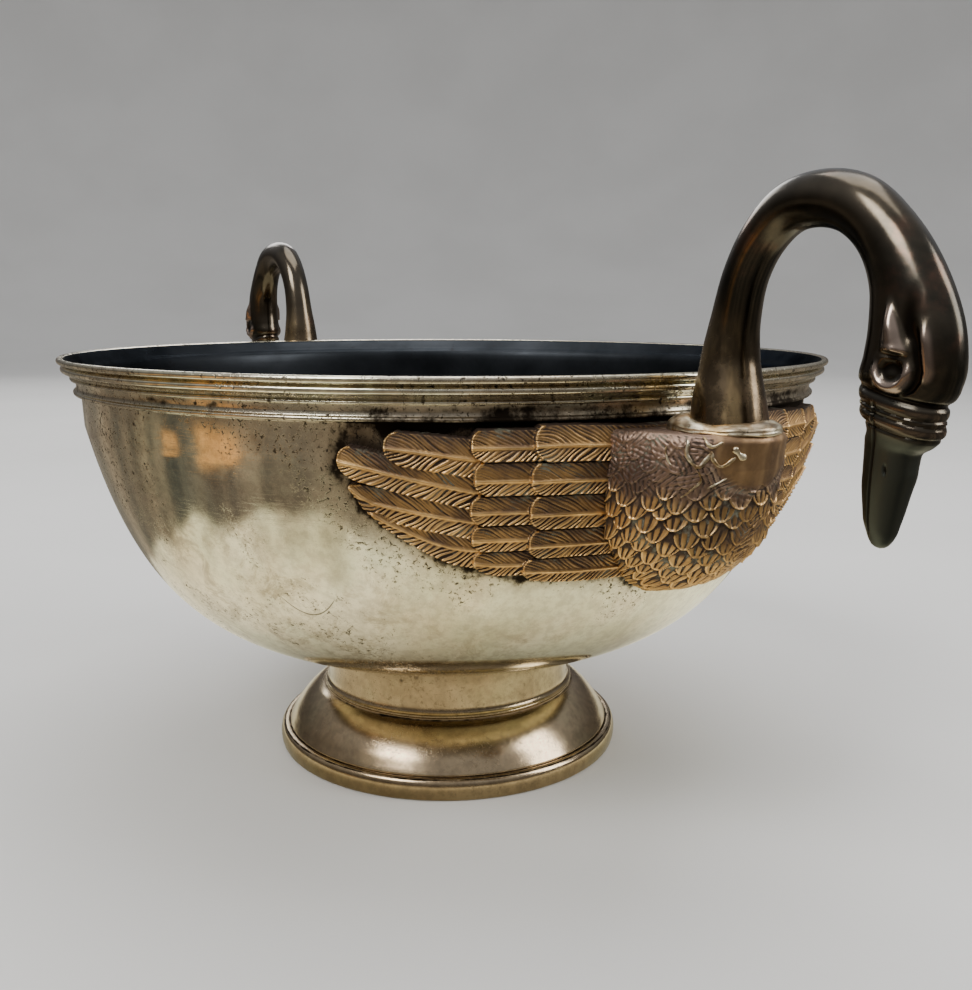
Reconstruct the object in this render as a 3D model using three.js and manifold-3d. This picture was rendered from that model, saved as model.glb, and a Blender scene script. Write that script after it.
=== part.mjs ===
// Footed metal bowl with two swan handles: a spun bowl on a spun pedestal foot, and on each side a cast
// swan whose breast and wings hug the wall, while its neck rises over the rim and its beak points down.
// Millimetres. +Z is up, the origin is the middle of the foot's base, and the swans face along +X and -X.
import * as THREE from "three";
import { mergeVertices } from "three/addons/utils/BufferGeometryUtils.js";
import Module from "manifold-3d";

const wasm = await Module();
wasm.setup();

// Between pieces that touch on the real object
const CLEARANCE = 0.3;

// Bowl: the plain wall is one Bezier curve from the middle of the underside to the top of the wall
const RIM_HEIGHT = 136.5;
const WALL = 1.6;
const UNDERSIDE_HEIGHT = 35.6;
const UNDERSIDE_REACH = 73.3;
const BODY_RADIUS = 118;
const BODY_TOP = 115.7;
const BODY_PULL_RADIUS = 102.2;
const BODY_PULL_HEIGHT = 48;

// Rim mouldings: how far each bead overhangs the wall, its middle below the rim and its thickness
const LIP = { overhang: 7, drop: 0.95, thickness: 1.9 };
const SECOND_BEAD = { overhang: 6, drop: 3.5, thickness: 2 };
const THIN_RIDGE = { overhang: 3.5, drop: 6.4, thickness: 0.9 };
const LOWER_BEAD = { overhang: 2.7, drop: 10.5, thickness: 1.3 };
const COVE_OVERHANG = 1.8;
const LIP_FLARE = 7;
const LEDGE_HEIGHT = RIM_HEIGHT - LOWER_BEAD.drop - LOWER_BEAD.thickness / 2;

// Foot
const BASE_RADIUS = 60;
const BASE_BEAD_HEIGHT = 7;
const BASE_GROOVE_RADIUS = 56.7;
const BASE_RING_WIDTH = 4.2;
const NECK_RADIUS = 42.6;
const NECK_RING_RADIUS = 44.2;
const NECK_RING_HEIGHT = 21.5;
const NECK_SEAT_RADIUS = 43.4;
const FOOT_WALL = 1.6;
const FOOT_WEB = 2;
const STUD_RADIUS = 3;
const STUD_LENGTH = 15;
const STUD_FLANGE_RADIUS = 14;
const STUD_FLANGE_THICKNESS = 1.6;
const WASHER_RADIUS = 10;
const WASHER_THICKNESS = 1.5;
const NUT_WIDTH = 10;
const NUT_HEIGHT = 5;

// Swan's body: azimuths are in degrees from the handle's own plane, and its top lies under the rim's beads
const SEAT_GAP = 1.95;
const BODY_SEAT = LEDGE_HEIGHT - SEAT_GAP;
const WING_GAP = 1.75;
const WING_TOP = LEDGE_HEIGHT - WING_GAP;
const WING_BOTTOM = 83.4;
const WING_PLATE = 3.8;
const WING_PLATE_TIP = 36.5;
const COVERTS = [
  { tip: 19.6, lift: 6.2 },
  { tip: 26.2, lift: 5.6 },
];
const COVERTS_IN_ROW = 5;
const TIP_ROUND = 0.9;
const PRIMARY_ROOT = 25;
const PRIMARY_LIFT = 4.9;
// Long feathers: root and rise of the quill, and half width, as shares of the wing's height
const PRIMARIES = [
  { tip: 35.7, root: 0.851, rise: 0.065, half: 0.117 },
  { tip: 41.2, root: 0.657, rise: 0.154, half: 0.124 },
  { tip: 40.1, root: 0.468, rise: 0.124, half: 0.117 },
  { tip: 36.9, root: 0.274, rise: 0.114, half: 0.127 },
];
const RIDGE = 0.7;
const SHINGLE = 0.9;
const BREAST_REACH = 29.5;
const BREAST_FULL_AT = 0.38;
const BREAST_HALF_WIDTH = 22.2;
const BREAST_BOTTOM = 80.2;
const BREAST_MARGIN = 0.3;
const SCALE_ROWS = 8;
const SCALES_IN_ROW = 6;
const SCALED_FROM = 0.07;
const SCALED_SHARE = 0.84;
const SCALE_POINT = 0.42;
const SCALE_LIFT = 1;
const SCALE_STEP = 0.004;

// Swan's neck and head: the neck is an upright leg, half an ellipse over the top, and the hanging head. Its
// collar stands clear of the rim, and the neck is thinnest on the way up the arch
const COLLAR_RADIUS = 12.4;
const COLLAR_HEIGHT = 2.2;
const NECK_GAP = 3.5;
const NECK_X = BODY_RADIUS + LOWER_BEAD.overhang + NECK_GAP + COLLAR_RADIUS;
const HEAD_REACH = 49.7;
const HEAD_X = NECK_X + HEAD_REACH;
const ARCH_SPRING = 142;
const ARCH_TOP = 174.7;
const NECK_FOOT_DIAMETER = 18.6;
const NECK_DIAMETER = 13.4;
const NECK_THIN_DIAMETER = 10.4;
const THINNEST_AT = 0.4;
const ARCH_TOP_DIAMETER = 11.8;
const NAPE_DEPTH = 21;
const NAPE_WIDTH = 13.8;
const HEAD_DEPTH = 21.4;
const HEAD_WIDTH = 13.8;
const HEAD_DROP = 9;
const BAND_DEPTH = 17.2;
const BAND_WIDTH = 12;
const BAND_LENGTH = 6;
const BEAK_DEPTH = 11.4;
const BEAK_WIDTH = 9.2;
const BEAK_LENGTH = 23;
const BEAK_LEAN = 4.9;
const LEAN_FROM = 4;
const LEAN_TO = 28;
const EYE_RADIUS = 3.2;
const EYE_RISE = 0.75;
const EYE_DROP = 0.9;
const TENON_RADIUS = 6.5;
const TENON_LENGTH = 9;

// Screws that hold each swan from inside the bowl
const SCREW_RADIUS = 1.5;
const SCREW_HEAD_RADIUS = 3.8;
const SCREW_HEAD_HEIGHT = 2;
const BREAST_SCREW = { azimuth: 0, height: 104, bite: 12 };
const WING_SCREWS = [-23, 23].map((azimuth) => ({ azimuth, height: 105, bite: 2.6 }));

// Number of flat sides round the bowl, the foot and small turned pieces
const BOWL_SIDES = 48;
const FOOT_SIDES = 36;
const SMALL_SIDES = 14;
const SCREW_SIDES = 8;
const WALL_STEPS = 9;
const BEAD_STEPS = 3;

const degrees = THREE.MathUtils.degToRad;
const toDegrees = THREE.MathUtils.radToDeg;
const mix = THREE.MathUtils.lerp;
const smooth = THREE.MathUtils.smoothstep;
const at = (radius, height) => new THREE.Vector2(radius, height);

const silver = { color: 0xb9b2a2, roughness: 0.28, metalness: 1 };
const nickel = { color: 0xc2b6a0, roughness: 0.18, metalness: 1 };
const darkBronze = { color: 0x4a3a2a, roughness: 0.3, metalness: 1 };
const goldenBronze = { color: 0x9a6f3c, roughness: 0.45, metalness: 1 };
const solder = { color: 0xb5ad9c, roughness: 0.4, metalness: 1 };
const brass = { color: 0xb08d4f, roughness: 0.35, metalness: 1 };

// Geometry as a closed solid that faces out
function toSolid(geometry) {
  const bare = geometry.clone();
  bare.deleteAttribute("normal");
  bare.deleteAttribute("uv");
  const merged = mergeVertices(bare, 1e-4);
  const triVerts = new Uint32Array(merged.index.array);
  const make = () =>
    new wasm.Manifold(
      new wasm.Mesh({ numProp: 3, vertProperties: merged.attributes.position.array, triVerts }),
    );
  const solid = make();
  if (solid.volume() > 0) return solid;
  for (let i = 0; i < triVerts.length; i += 3) {
    [triVerts[i + 1], triVerts[i + 2]] = [triVerts[i + 2], triVerts[i + 1]];
  }
  return make();
}

function toMesh(name, solid, finish) {
  const { vertProperties, triVerts } = solid.getMesh();
  const geometry = new THREE.BufferGeometry();
  geometry.setAttribute("position", new THREE.BufferAttribute(vertProperties, 3));
  geometry.setIndex(new THREE.BufferAttribute(triVerts, 1));
  geometry.computeVertexNormals();
  const mesh = new THREE.Mesh(geometry, new THREE.MeshStandardMaterial(finish));
  mesh.name = name;
  return mesh;
}

// A profile of (radius, height) points turned about +Z
function turned(profile, sides) {
  return toSolid(new THREE.LatheGeometry(profile, sides).rotateX(Math.PI / 2));
}

// Closed rings of points, one after the other, as one closed solid with flat ends
function lofted(rings) {
  const count = rings[0].length;
  const positions = rings.flat().flatMap((p) => [p.x, p.y, p.z]);
  const faces = [];
  for (let r = 0; r + 1 < rings.length; r += 1) {
    for (let i = 0; i < count; i += 1) {
      const j = (i + 1) % count;
      const [a, b, c, d] = [r * count + i, r * count + j, (r + 1) * count + j, (r + 1) * count + i];
      faces.push(a, b, c, a, c, d);
    }
  }
  const last = (rings.length - 1) * count;
  for (let i = 1; i + 1 < count; i += 1) faces.push(0, i + 1, i, last, last + i, last + i + 1);
  const geometry = new THREE.BufferGeometry();
  geometry.setAttribute("position", new THREE.Float32BufferAttribute(positions, 3));
  geometry.setIndex(faces);
  return toSolid(geometry);
}

function joined(solids) {
  return solids.reduce((whole, solid) => whole.add(solid));
}

// Half-round bead of a profile, from its lower edge to its upper edge
function bead({ overhang, drop, thickness }, steps = BEAD_STEPS) {
  const half = thickness / 2;
  const radius = BODY_RADIUS + overhang;
  return Array.from({ length: steps + 1 }, (_, i) => {
    const turn = -Math.PI / 2 + (Math.PI * i) / steps;
    return at(radius - half + half * Math.cos(turn), RIM_HEIGHT - drop + half * Math.sin(turn));
  });
}

// The bowl's outside, from the middle of the underside to the top of the plain wall
const wallCurve = new THREE.CubicBezierCurve(
  at(0, UNDERSIDE_HEIGHT),
  at(UNDERSIDE_REACH, UNDERSIDE_HEIGHT),
  at(BODY_PULL_RADIUS, BODY_PULL_HEIGHT),
  at(BODY_RADIUS, BODY_TOP),
);

// The wall moved along its own normal: positive is outwards
function offsetWall(distance) {
  return Array.from({ length: WALL_STEPS + 1 }, (_, i) => {
    const point = wallCurve.getPoint(i / WALL_STEPS);
    const along = wallCurve.getTangent(i / WALL_STEPS);
    return at(Math.max(0, point.x + along.y * distance), point.y - along.x * distance);
  });
}

function interpolate(points, from, to, value) {
  const next = points.findIndex((p) => p[from] > value);
  if (next === 0) return points[0][to];
  if (next < 0) return points[points.length - 1][to];
  const [a, b] = [points[next - 1], points[next]];
  return mix(a[to], b[to], (value - a[from]) / (b[from] - a[from]));
}

const wallOutside = offsetWall(0);
const wallRadius = (height) => interpolate(wallOutside, "y", "x", height);
const undersideHeight = (radius) => interpolate(wallOutside, "x", "y", radius);

function bowlShell() {
  const inside = offsetWall(-WALL).reverse();
  const coveTop = RIM_HEIGHT - THIN_RIDGE.drop - THIN_RIDGE.thickness / 2;
  const coveBottom = RIM_HEIGHT - LOWER_BEAD.drop + LOWER_BEAD.thickness / 2;
  const lipInside = BODY_RADIUS + LIP.overhang - LIP.thickness;
  const profile = [
    ...wallOutside,
    at(BODY_RADIUS + 0.4, LEDGE_HEIGHT),
    ...bead(LOWER_BEAD, 2),
    at(BODY_RADIUS + COVE_OVERHANG, (coveTop + coveBottom) / 2),
    ...bead(THIN_RIDGE, 2),
    ...bead(SECOND_BEAD),
    ...bead(LIP),
    at(lipInside, RIM_HEIGHT - 0.2),
    at(mix(lipInside, BODY_RADIUS, 0.6), RIM_HEIGHT - LIP_FLARE / 2),
    at(BODY_RADIUS - WALL + 1, RIM_HEIGHT - LIP_FLARE),
    ...inside,
    at(0, UNDERSIDE_HEIGHT),
  ];
  return drilled(turned(profile, BOWL_SIDES));
}

// Everything that a swan keeps clear of: the bowl's outside grown by the clearance
function bowlGrown() {
  const ledge = LEDGE_HEIGHT - CLEARANCE;
  const beadRadius = BODY_RADIUS + LOWER_BEAD.overhang + CLEARANCE;
  const top = RIM_HEIGHT - SECOND_BEAD.drop - SECOND_BEAD.thickness;
  return turned(
    [
      ...offsetWall(CLEARANCE),
      at(BODY_RADIUS + 0.4 + CLEARANCE, ledge),
      at(beadRadius, ledge),
      at(beadRadius, top),
      at(0, top),
    ],
    BOWL_SIDES,
  );
}

function footShell() {
  const seat = undersideHeight(NECK_SEAT_RADIUS) - CLEARANCE;
  const shelf = NECK_RING_HEIGHT - 1;
  const flare = new THREE.SplineCurve([
    at(NECK_RING_RADIUS - 0.2, shelf),
    at(mix(NECK_RING_RADIUS, BASE_GROOVE_RADIUS, 0.32), mix(shelf, BASE_BEAD_HEIGHT, 0.2)),
    at(mix(NECK_RING_RADIUS, BASE_GROOVE_RADIUS, 0.68), mix(shelf, BASE_BEAD_HEIGHT, 0.48)),
    at(mix(NECK_RING_RADIUS, BASE_GROOVE_RADIUS, 0.92), mix(shelf, BASE_BEAD_HEIGHT, 0.8)),
    at(BASE_GROOVE_RADIUS, BASE_BEAD_HEIGHT),
  ]).getPoints(6);
  const ringInside = BASE_RADIUS - BASE_RING_WIDTH;
  const web = UNDERSIDE_HEIGHT - STUD_FLANGE_THICKNESS - 2 * CLEARANCE;
  const stud = STUD_RADIUS + CLEARANCE;
  const profile = [
    at(BASE_RADIUS - 0.8, 0),
    at(BASE_RADIUS - 0.2, BASE_BEAD_HEIGHT * 0.2),
    at(BASE_RADIUS, BASE_BEAD_HEIGHT * 0.5),
    at(BASE_RADIUS - 0.4, BASE_BEAD_HEIGHT * 0.8),
    at(BASE_RADIUS - 1.6, BASE_BEAD_HEIGHT),
    at(BASE_GROOVE_RADIUS, BASE_BEAD_HEIGHT - 0.7),
    ...flare.reverse(),
    at(NECK_RING_RADIUS, NECK_RING_HEIGHT - 0.4),
    at(NECK_RING_RADIUS, NECK_RING_HEIGHT + 0.4),
    at(NECK_RADIUS + 0.3, NECK_RING_HEIGHT + 1.2),
    at(NECK_RADIUS, mix(NECK_RING_HEIGHT, seat, 0.5)),
    at(NECK_SEAT_RADIUS, seat),
    at(NECK_SEAT_RADIUS - FOOT_WALL, seat - 0.2),
    at(NECK_RADIUS - FOOT_WALL, web),
    at(stud, web),
    at(stud, web - FOOT_WEB),
    at(NECK_RADIUS - FOOT_WALL, web - FOOT_WEB),
    at(NECK_RING_RADIUS - FOOT_WALL, shelf),
    at(mix(NECK_RING_RADIUS, BASE_GROOVE_RADIUS, 0.6) - FOOT_WALL, mix(shelf, BASE_BEAD_HEIGHT, 0.5)),
    at(BASE_GROOVE_RADIUS - FOOT_WALL, BASE_BEAD_HEIGHT - 0.7),
    at(ringInside, BASE_BEAD_HEIGHT * 0.4),
    at(ringInside, 0),
    at(BASE_RADIUS - 0.8, 0),
  ];
  return { solid: turned(profile, FOOT_SIDES), web };
}

// Flanged stud under the bowl, drawn down through the foot's web by a washer and a nut
function footFixing(web) {
  const flangeTop = UNDERSIDE_HEIGHT - CLEARANCE;
  const flangeBottom = flangeTop - STUD_FLANGE_THICKNESS;
  const washerTop = web - FOOT_WEB - CLEARANCE;
  const nutTop = washerTop - WASHER_THICKNESS - CLEARANCE;
  const stud = turned(
    [
      at(0, flangeBottom - STUD_LENGTH),
      at(STUD_RADIUS, flangeBottom - STUD_LENGTH),
      at(STUD_RADIUS, flangeBottom),
      at(STUD_FLANGE_RADIUS, flangeBottom),
      at(STUD_FLANGE_RADIUS, flangeTop),
      at(0, flangeTop),
    ],
    SMALL_SIDES,
  );
  return { stud, washer: ring(WASHER_RADIUS, washerTop, WASHER_THICKNESS), nut: hexNut(nutTop) };
}

function ring(outer, top, thickness) {
  const bore = STUD_RADIUS + CLEARANCE;
  const corners = [at(bore, top - thickness), at(outer, top - thickness), at(outer, top), at(bore, top)];
  return turned([...corners, corners[0]], SMALL_SIDES);
}

function hexNut(top) {
  const outline = new THREE.Shape();
  for (let i = 0; i < 6; i += 1) {
    const turn = (i * Math.PI) / 3;
    const reach = NUT_WIDTH / 2 / Math.cos(Math.PI / 6);
    const corner = [reach * Math.cos(turn), reach * Math.sin(turn)];
    if (i === 0) outline.moveTo(...corner);
    else outline.lineTo(...corner);
  }
  const bore = new THREE.Path();
  bore.absarc(0, 0, STUD_RADIUS + CLEARANCE, 0, 2 * Math.PI, true);
  outline.holes.push(bore);
  const options = { depth: NUT_HEIGHT, bevelEnabled: false, curveSegments: 8 };
  return toSolid(new THREE.ExtrudeGeometry(outline, options).translate(0, 0, top - NUT_HEIGHT));
}

// A place on the bowl's wall: azimuth in degrees, height, and how far it stands proud of the wall
function onWall(azimuth, height, proud) {
  const radius = wallRadius(height) + proud;
  const turn = degrees(azimuth);
  return new THREE.Vector3(radius * Math.cos(turn), radius * Math.sin(turn), height);
}

// A height on the wing, from 0 at its lowest edge to 1 at its top
const onWing = (share) => mix(WING_BOTTOM, WING_TOP, share);

// Lower edge of a wing: azimuth and share of the wing's height
const wingEdge = new THREE.SplineCurve([
  new THREE.Vector2(0, 0),
  new THREE.Vector2(10, 0.005),
  new THREE.Vector2(18, 0.037),
  new THREE.Vector2(25, 0.104),
  new THREE.Vector2(31, 0.224),
  new THREE.Vector2(35.5, 0.376),
  new THREE.Vector2(39, 0.537),
]).getPoints(24);
const wingBottom = (azimuth) => onWing(interpolate(wingEdge, "x", "y", azimuth));

// How deep the wings and the breast are made into the wall before the bowl's own shape is cut away
const SUNK = -1.5;

// Heights across a row of feathers, from the top edge down: each feather starts tucked under the one
// above it, rises to its quill and ends proud of the next
function acrossRow() {
  return Array.from({ length: COVERTS_IN_ROW }, (_, i) => [
    { share: i / COVERTS_IN_ROW, proud: -SHINGLE, round: 0 },
    { share: (i + 0.45) / COVERTS_IN_ROW, proud: RIDGE, round: 1 },
    { share: (i + 1) / COVERTS_IN_ROW, proud: 0, round: 0.2 },
  ]).flat();
}

// Both rows of coverts and the plate behind the primaries, lofted from the breast towards the wing's tip
function coverts(side) {
  const [inner, outer] = COVERTS;
  const rootSink = 1.2;
  const stations = [
    { azimuth: 0, lift: inner.lift - 0.6, relief: 1, round: 0 },
    { azimuth: 8, lift: inner.lift - 0.3, relief: 1, round: 0 },
    { azimuth: mix(8, inner.tip, 0.55), lift: inner.lift, relief: 1, round: 0 },
    { azimuth: inner.tip, lift: inner.lift, relief: 1, round: 1 },
    { azimuth: inner.tip + 0.25, lift: outer.lift - rootSink, relief: 0.4, round: 1 },
    { azimuth: mix(inner.tip, outer.tip, 0.6), lift: outer.lift, relief: 1, round: 0 },
    { azimuth: outer.tip, lift: outer.lift, relief: 1, round: 1 },
    { azimuth: outer.tip + 0.25, lift: WING_PLATE, relief: 0, round: 1 },
    { azimuth: mix(outer.tip, WING_PLATE_TIP, 0.5), lift: WING_PLATE, relief: 0, round: 0 },
    { azimuth: WING_PLATE_TIP, lift: WING_PLATE, relief: 0, round: 0, squeeze: 4 },
  ];
  const rings = stations.map(({ azimuth, lift, relief, round, squeeze = 0 }) => {
    const [low, high] = [wingBottom(azimuth) + 0.4 + squeeze / 2, WING_TOP - squeeze];
    const front = acrossRow().map((place) => {
      const turn = side * (azimuth + TIP_ROUND * round * place.round);
      return onWall(turn, mix(high, low, place.share), lift + relief * place.proud);
    });
    const back = [1, 0.5, 0].map((share) => onWall(side * azimuth, mix(high, low, share), SUNK));
    return [...front, ...back];
  });
  return lofted(rings);
}

// One long wing feather, with a raised quill line and a rounded end
function primary(side, { tip, root, rise, half }) {
  const rings = [0, 0.4, 0.7, 0.9, 1].map((t) => {
    const azimuth = side * mix(PRIMARY_ROOT, tip, t);
    const middle = onWing(root + rise * t);
    const taper = mix(1, 0.8, t) * [1, 1, 0.96, 0.72, 0.3][Math.round(t * 4.4 - 0.2)];
    const width = half * taper * (WING_TOP - WING_BOTTOM);
    return [
      onWall(azimuth, middle + width, PRIMARY_LIFT - SHINGLE),
      onWall(azimuth, middle + width * 0.1, PRIMARY_LIFT + RIDGE),
      onWall(azimuth, middle - width, PRIMARY_LIFT),
      onWall(azimuth, middle - width, SUNK),
      onWall(azimuth, middle + width, SUNK),
    ];
  });
  return lofted(rings);
}

// The breast swells from the wall; share runs from -1 to 1 across it, rise from 0 to 1 up it. It is narrow
// at its foot, and its section is fullest at BREAST_FULL_AT and more pointed above and below
function onBreast(share, rise, proud) {
  const height = mix(BREAST_BOTTOM, BODY_SEAT, rise);
  const width = BREAST_HALF_WIDTH * mix(0.12, 1, 1 - (1 - rise) ** 4.5);
  const swell = Math.sqrt(1 - Math.max(0, 1 - rise / BREAST_FULL_AT) ** 2);
  const topReach = NECK_X + COLLAR_RADIUS + BREAST_MARGIN - wallRadius(BODY_SEAT);
  const shoulder = smooth(rise, BREAST_FULL_AT, 1) * (topReach - BREAST_REACH);
  const reach = Math.max(WING_PLATE + 2, BREAST_REACH * swell) + shoulder;
  const roundness = 0.62 + 1.1 * (rise - BREAST_FULL_AT) ** 2;
  const bulge = WING_PLATE + (reach - WING_PLATE) * Math.max(0, 1 - share * share) ** roundness;
  return onWall(toDegrees((share * width) / wallRadius(height)), height, bulge + proud * (1 - share ** 6));
}

// Levels of the breast from its foot up: each row of pointed scales is a plain zigzag edge and, just
// above it, the same edge standing proud; the tips of one row fall between those of the next
function breastLevels() {
  const rowRise = SCALED_SHARE / SCALE_ROWS;
  const rows = Array.from({ length: SCALE_ROWS }, (_, row) => {
    const sign = (column) => ((column + row) % 2 === 0 ? -1 : 1);
    const edge = SCALED_FROM + row * rowRise;
    const zigzag = (column) => edge + SCALE_POINT * rowRise * sign(column);
    const lifted = (column) => zigzag(column) + SCALE_STEP;
    return [
      { rise: zigzag, proud: () => 0 },
      { rise: lifted, proud: (column) => SCALE_LIFT * (0.65 - 0.35 * sign(column)) },
    ];
  });
  const plain = (rise, proud) => ({ rise: () => rise, proud: () => proud });
  return [plain(0, 0), ...rows.flat(), plain(SCALED_FROM + SCALED_SHARE, 0), plain(0.97, 0), plain(1, -1)];
}

function breast() {
  const columns = 2 * SCALES_IN_ROW;
  const shares = Array.from({ length: columns + 1 }, (_, i) => -Math.cos((Math.PI * i) / columns));
  const rings = breastLevels().map(({ rise, proud }) => {
    const front = shares.map((share, column) => onBreast(share, rise(column), proud(column)));
    const back = [columns, SCALES_IN_ROW, 0].map((column) => {
      const place = front[column];
      return onWall(toDegrees(Math.atan2(place.y, place.x)), place.z, SUNK);
    });
    return [...front, ...back];
  });
  return lofted(rings);
}

// A straight round bar along +Z that is carried to a place on the wall, square to the wall there
function acrossWall({ azimuth, height }, profile, sides) {
  const index = wallOutside.findIndex((p) => p.y > height);
  const [a, b] = [wallOutside[index - 1], wallOutside[index]];
  const slope = Math.atan2(b.x - a.x, b.y - a.y);
  const geometry = new THREE.LatheGeometry(profile, sides)
    .rotateX(Math.PI / 2)
    .rotateY(Math.PI / 2 + slope)
    .translate(wallRadius(height), 0, height)
    .rotateZ(degrees(azimuth));
  return toSolid(geometry);
}

function screw(place) {
  const inside = -WALL - CLEARANCE;
  const headRound = Array.from({ length: 4 }, (_, i) => {
    const turn = (Math.PI / 2) * (i / 4);
    const crown = SCREW_HEAD_HEIGHT * (0.25 + 0.75 * Math.sin(turn));
    return at(SCREW_HEAD_RADIUS * Math.cos(turn), inside - crown);
  });
  const profile = [
    at(0, inside - SCREW_HEAD_HEIGHT),
    ...headRound.reverse(),
    at(SCREW_HEAD_RADIUS, inside),
    at(SCREW_RADIUS, inside),
    at(SCREW_RADIUS, place.bite),
    at(0, place.bite),
  ];
  return acrossWall(place, profile, SCREW_SIDES);
}

// The bowl drilled for both swans' screws
function drilled(solid) {
  const places = [0, 180].flatMap((turn) =>
    [BREAST_SCREW, ...WING_SCREWS].map((place) => ({ ...place, azimuth: place.azimuth + turn })),
  );
  return places.reduce((rest, place) => rest.subtract(screwHole(place)), solid);
}

function screwHole(place) {
  const radius = SCREW_RADIUS + CLEARANCE;
  const end = place.bite + CLEARANCE;
  const profile = [at(0, -2 * WALL), at(radius, -2 * WALL), at(radius, end), at(0, end)];
  return acrossWall(place, profile, SCREW_SIDES);
}

function swanBody() {
  const wing = (side) => [coverts(side), ...PRIMARIES.map((shape) => primary(side, shape))];
  const socketRadius = TENON_RADIUS + CLEARANCE;
  const socket = toSolid(
    new THREE.CylinderGeometry(socketRadius, socketRadius, 2 * (TENON_LENGTH + CLEARANCE), SMALL_SIDES)
      .rotateX(Math.PI / 2)
      .translate(NECK_X, 0, BODY_SEAT),
  );
  const cut = [bowlGrown(), socket, ...[BREAST_SCREW, ...WING_SCREWS].map(screwHole)];
  return cut.reduce((rest, tool) => rest.subtract(tool), joined([breast(), ...wing(-1), ...wing(1)]));
}

// Thickness of the first half of the arch, from its spring to its top
function archThickness(share) {
  if (share > THINNEST_AT) {
    return mix(NECK_THIN_DIAMETER, ARCH_TOP_DIAMETER, (share - THINNEST_AT) / (1 - THINNEST_AT));
  }
  return mix(NECK_THIN_DIAMETER, NECK_DIAMETER, (1 - share / THINNEST_AT) ** 2);
}

// Stations of the neck, head, band and beak in the handle's plane: place, depth in it and width across it
function neckStations() {
  const seat = BODY_SEAT + CLEARANCE;
  const leg = [0, 0.12, 0.3, 0.55, 0.8].map((t) => ({
    x: NECK_X,
    z: mix(seat, ARCH_SPRING, t),
    depth: mix(NECK_FOOT_DIAMETER, NECK_DIAMETER, t),
    width: mix(NECK_FOOT_DIAMETER, NECK_DIAMETER, t),
  }));
  const middle = (NECK_X + HEAD_X) / 2;
  const arch = Array.from({ length: 11 }, (_, i) => {
    const turn = (Math.PI * i) / 10;
    const after = Math.max(0, i / 5 - 1) ** 2;
    const thickness = archThickness(Math.min(1, i / 5));
    return {
      x: middle - (HEAD_REACH / 2) * Math.cos(turn),
      z: ARCH_SPRING + (ARCH_TOP - ARCH_SPRING) * Math.sin(turn),
      depth: mix(thickness, NAPE_DEPTH, after),
      width: mix(thickness, NAPE_WIDTH, after),
    };
  });
  const headEnd = ARCH_SPRING - HEAD_DROP;
  const lean = (drop) => HEAD_X - BEAK_LEAN * smooth(drop, LEAN_FROM, LEAN_TO);
  const head = [
    [0.2, 1, 1],
    [0.4, 1, 1],
    [0.6, 0.98, 0.98],
    [0.8, 0.93, 0.94],
    [1, 0.84, 0.88],
  ].map(([t, depth, width]) => ({
    x: lean(t * HEAD_DROP),
    z: mix(ARCH_SPRING, headEnd, t),
    depth: HEAD_DEPTH * depth,
    width: HEAD_WIDTH * width,
  }));
  const band = [
    [0.06, 0.94],
    [0.24, 1.04],
    [0.42, 0.99],
    [0.52, 0.93],
    [0.64, 0.98],
    [0.82, 0.95],
    [0.96, 0.84],
  ].map(([t, swell]) => ({
    x: lean(HEAD_DROP + t * BAND_LENGTH),
    z: headEnd - t * BAND_LENGTH,
    depth: BAND_DEPTH * swell,
    width: BAND_WIDTH * swell,
  }));
  const beak = [
    [0, 1, 1],
    [0.25, 0.95, 0.97],
    [0.5, 0.86, 0.89],
    [0.72, 0.7, 0.74],
    [0.88, 0.52, 0.55],
    [0.97, 0.32, 0.36],
    [1, 0.08, 0.12],
  ].map(([t, depth, width]) => ({
    x: lean(HEAD_DROP + BAND_LENGTH + t * BEAK_LENGTH),
    z: headEnd - BAND_LENGTH - t * BEAK_LENGTH,
    depth: BEAK_DEPTH * depth,
    width: BEAK_WIDTH * width,
  }));
  return [...leg, ...arch, ...head, ...band, ...beak];
}

function swanNeck() {
  const stations = neckStations();
  const points = 12;
  const rings = stations.map(({ x, z, depth, width }, i) => {
    const before = stations[Math.max(0, i - 1)];
    const after = stations[Math.min(stations.length - 1, i + 1)];
    const along = i === 0 ? at(0, 1) : at(after.x - before.x, after.z - before.z).normalize();
    return Array.from({ length: points }, (_, k) => {
      const turn = (2 * Math.PI * k) / points;
      const [out, across] = [(depth / 2) * Math.cos(turn), (width / 2) * Math.sin(turn)];
      return new THREE.Vector3(x + along.y * out, across, z - along.x * out);
    });
  });
  const tenon = toSolid(
    new THREE.CylinderGeometry(TENON_RADIUS, TENON_RADIUS, TENON_LENGTH + 3, SMALL_SIDES)
      .rotateX(Math.PI / 2)
      .translate(NECK_X, 0, BODY_SEAT + 3 - (TENON_LENGTH + 3) / 2),
  );
  return joined([lofted(rings), tenon, eye(1), eye(-1)]);
}

// A raised ring eyelid round a domed eye on each cheek
function eye(side) {
  const face = HEAD_WIDTH / 2 - 0.2;
  const profile = [
    at(0, -1.5),
    at(EYE_RADIUS, -1.5),
    at(EYE_RADIUS, 0.1),
    at(EYE_RADIUS * 0.78, EYE_RISE),
    at(EYE_RADIUS * 0.56, EYE_RISE * 0.6),
    at(EYE_RADIUS * 0.44, 0),
    at(0, EYE_RISE * 0.4),
  ];
  const geometry = new THREE.LatheGeometry(profile, SMALL_SIDES - 4).translate(0, face, 0);
  if (side < 0) geometry.rotateX(Math.PI);
  return toSolid(geometry.translate(HEAD_X - 0.4, 0, ARCH_SPRING - EYE_DROP));
}

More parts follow.
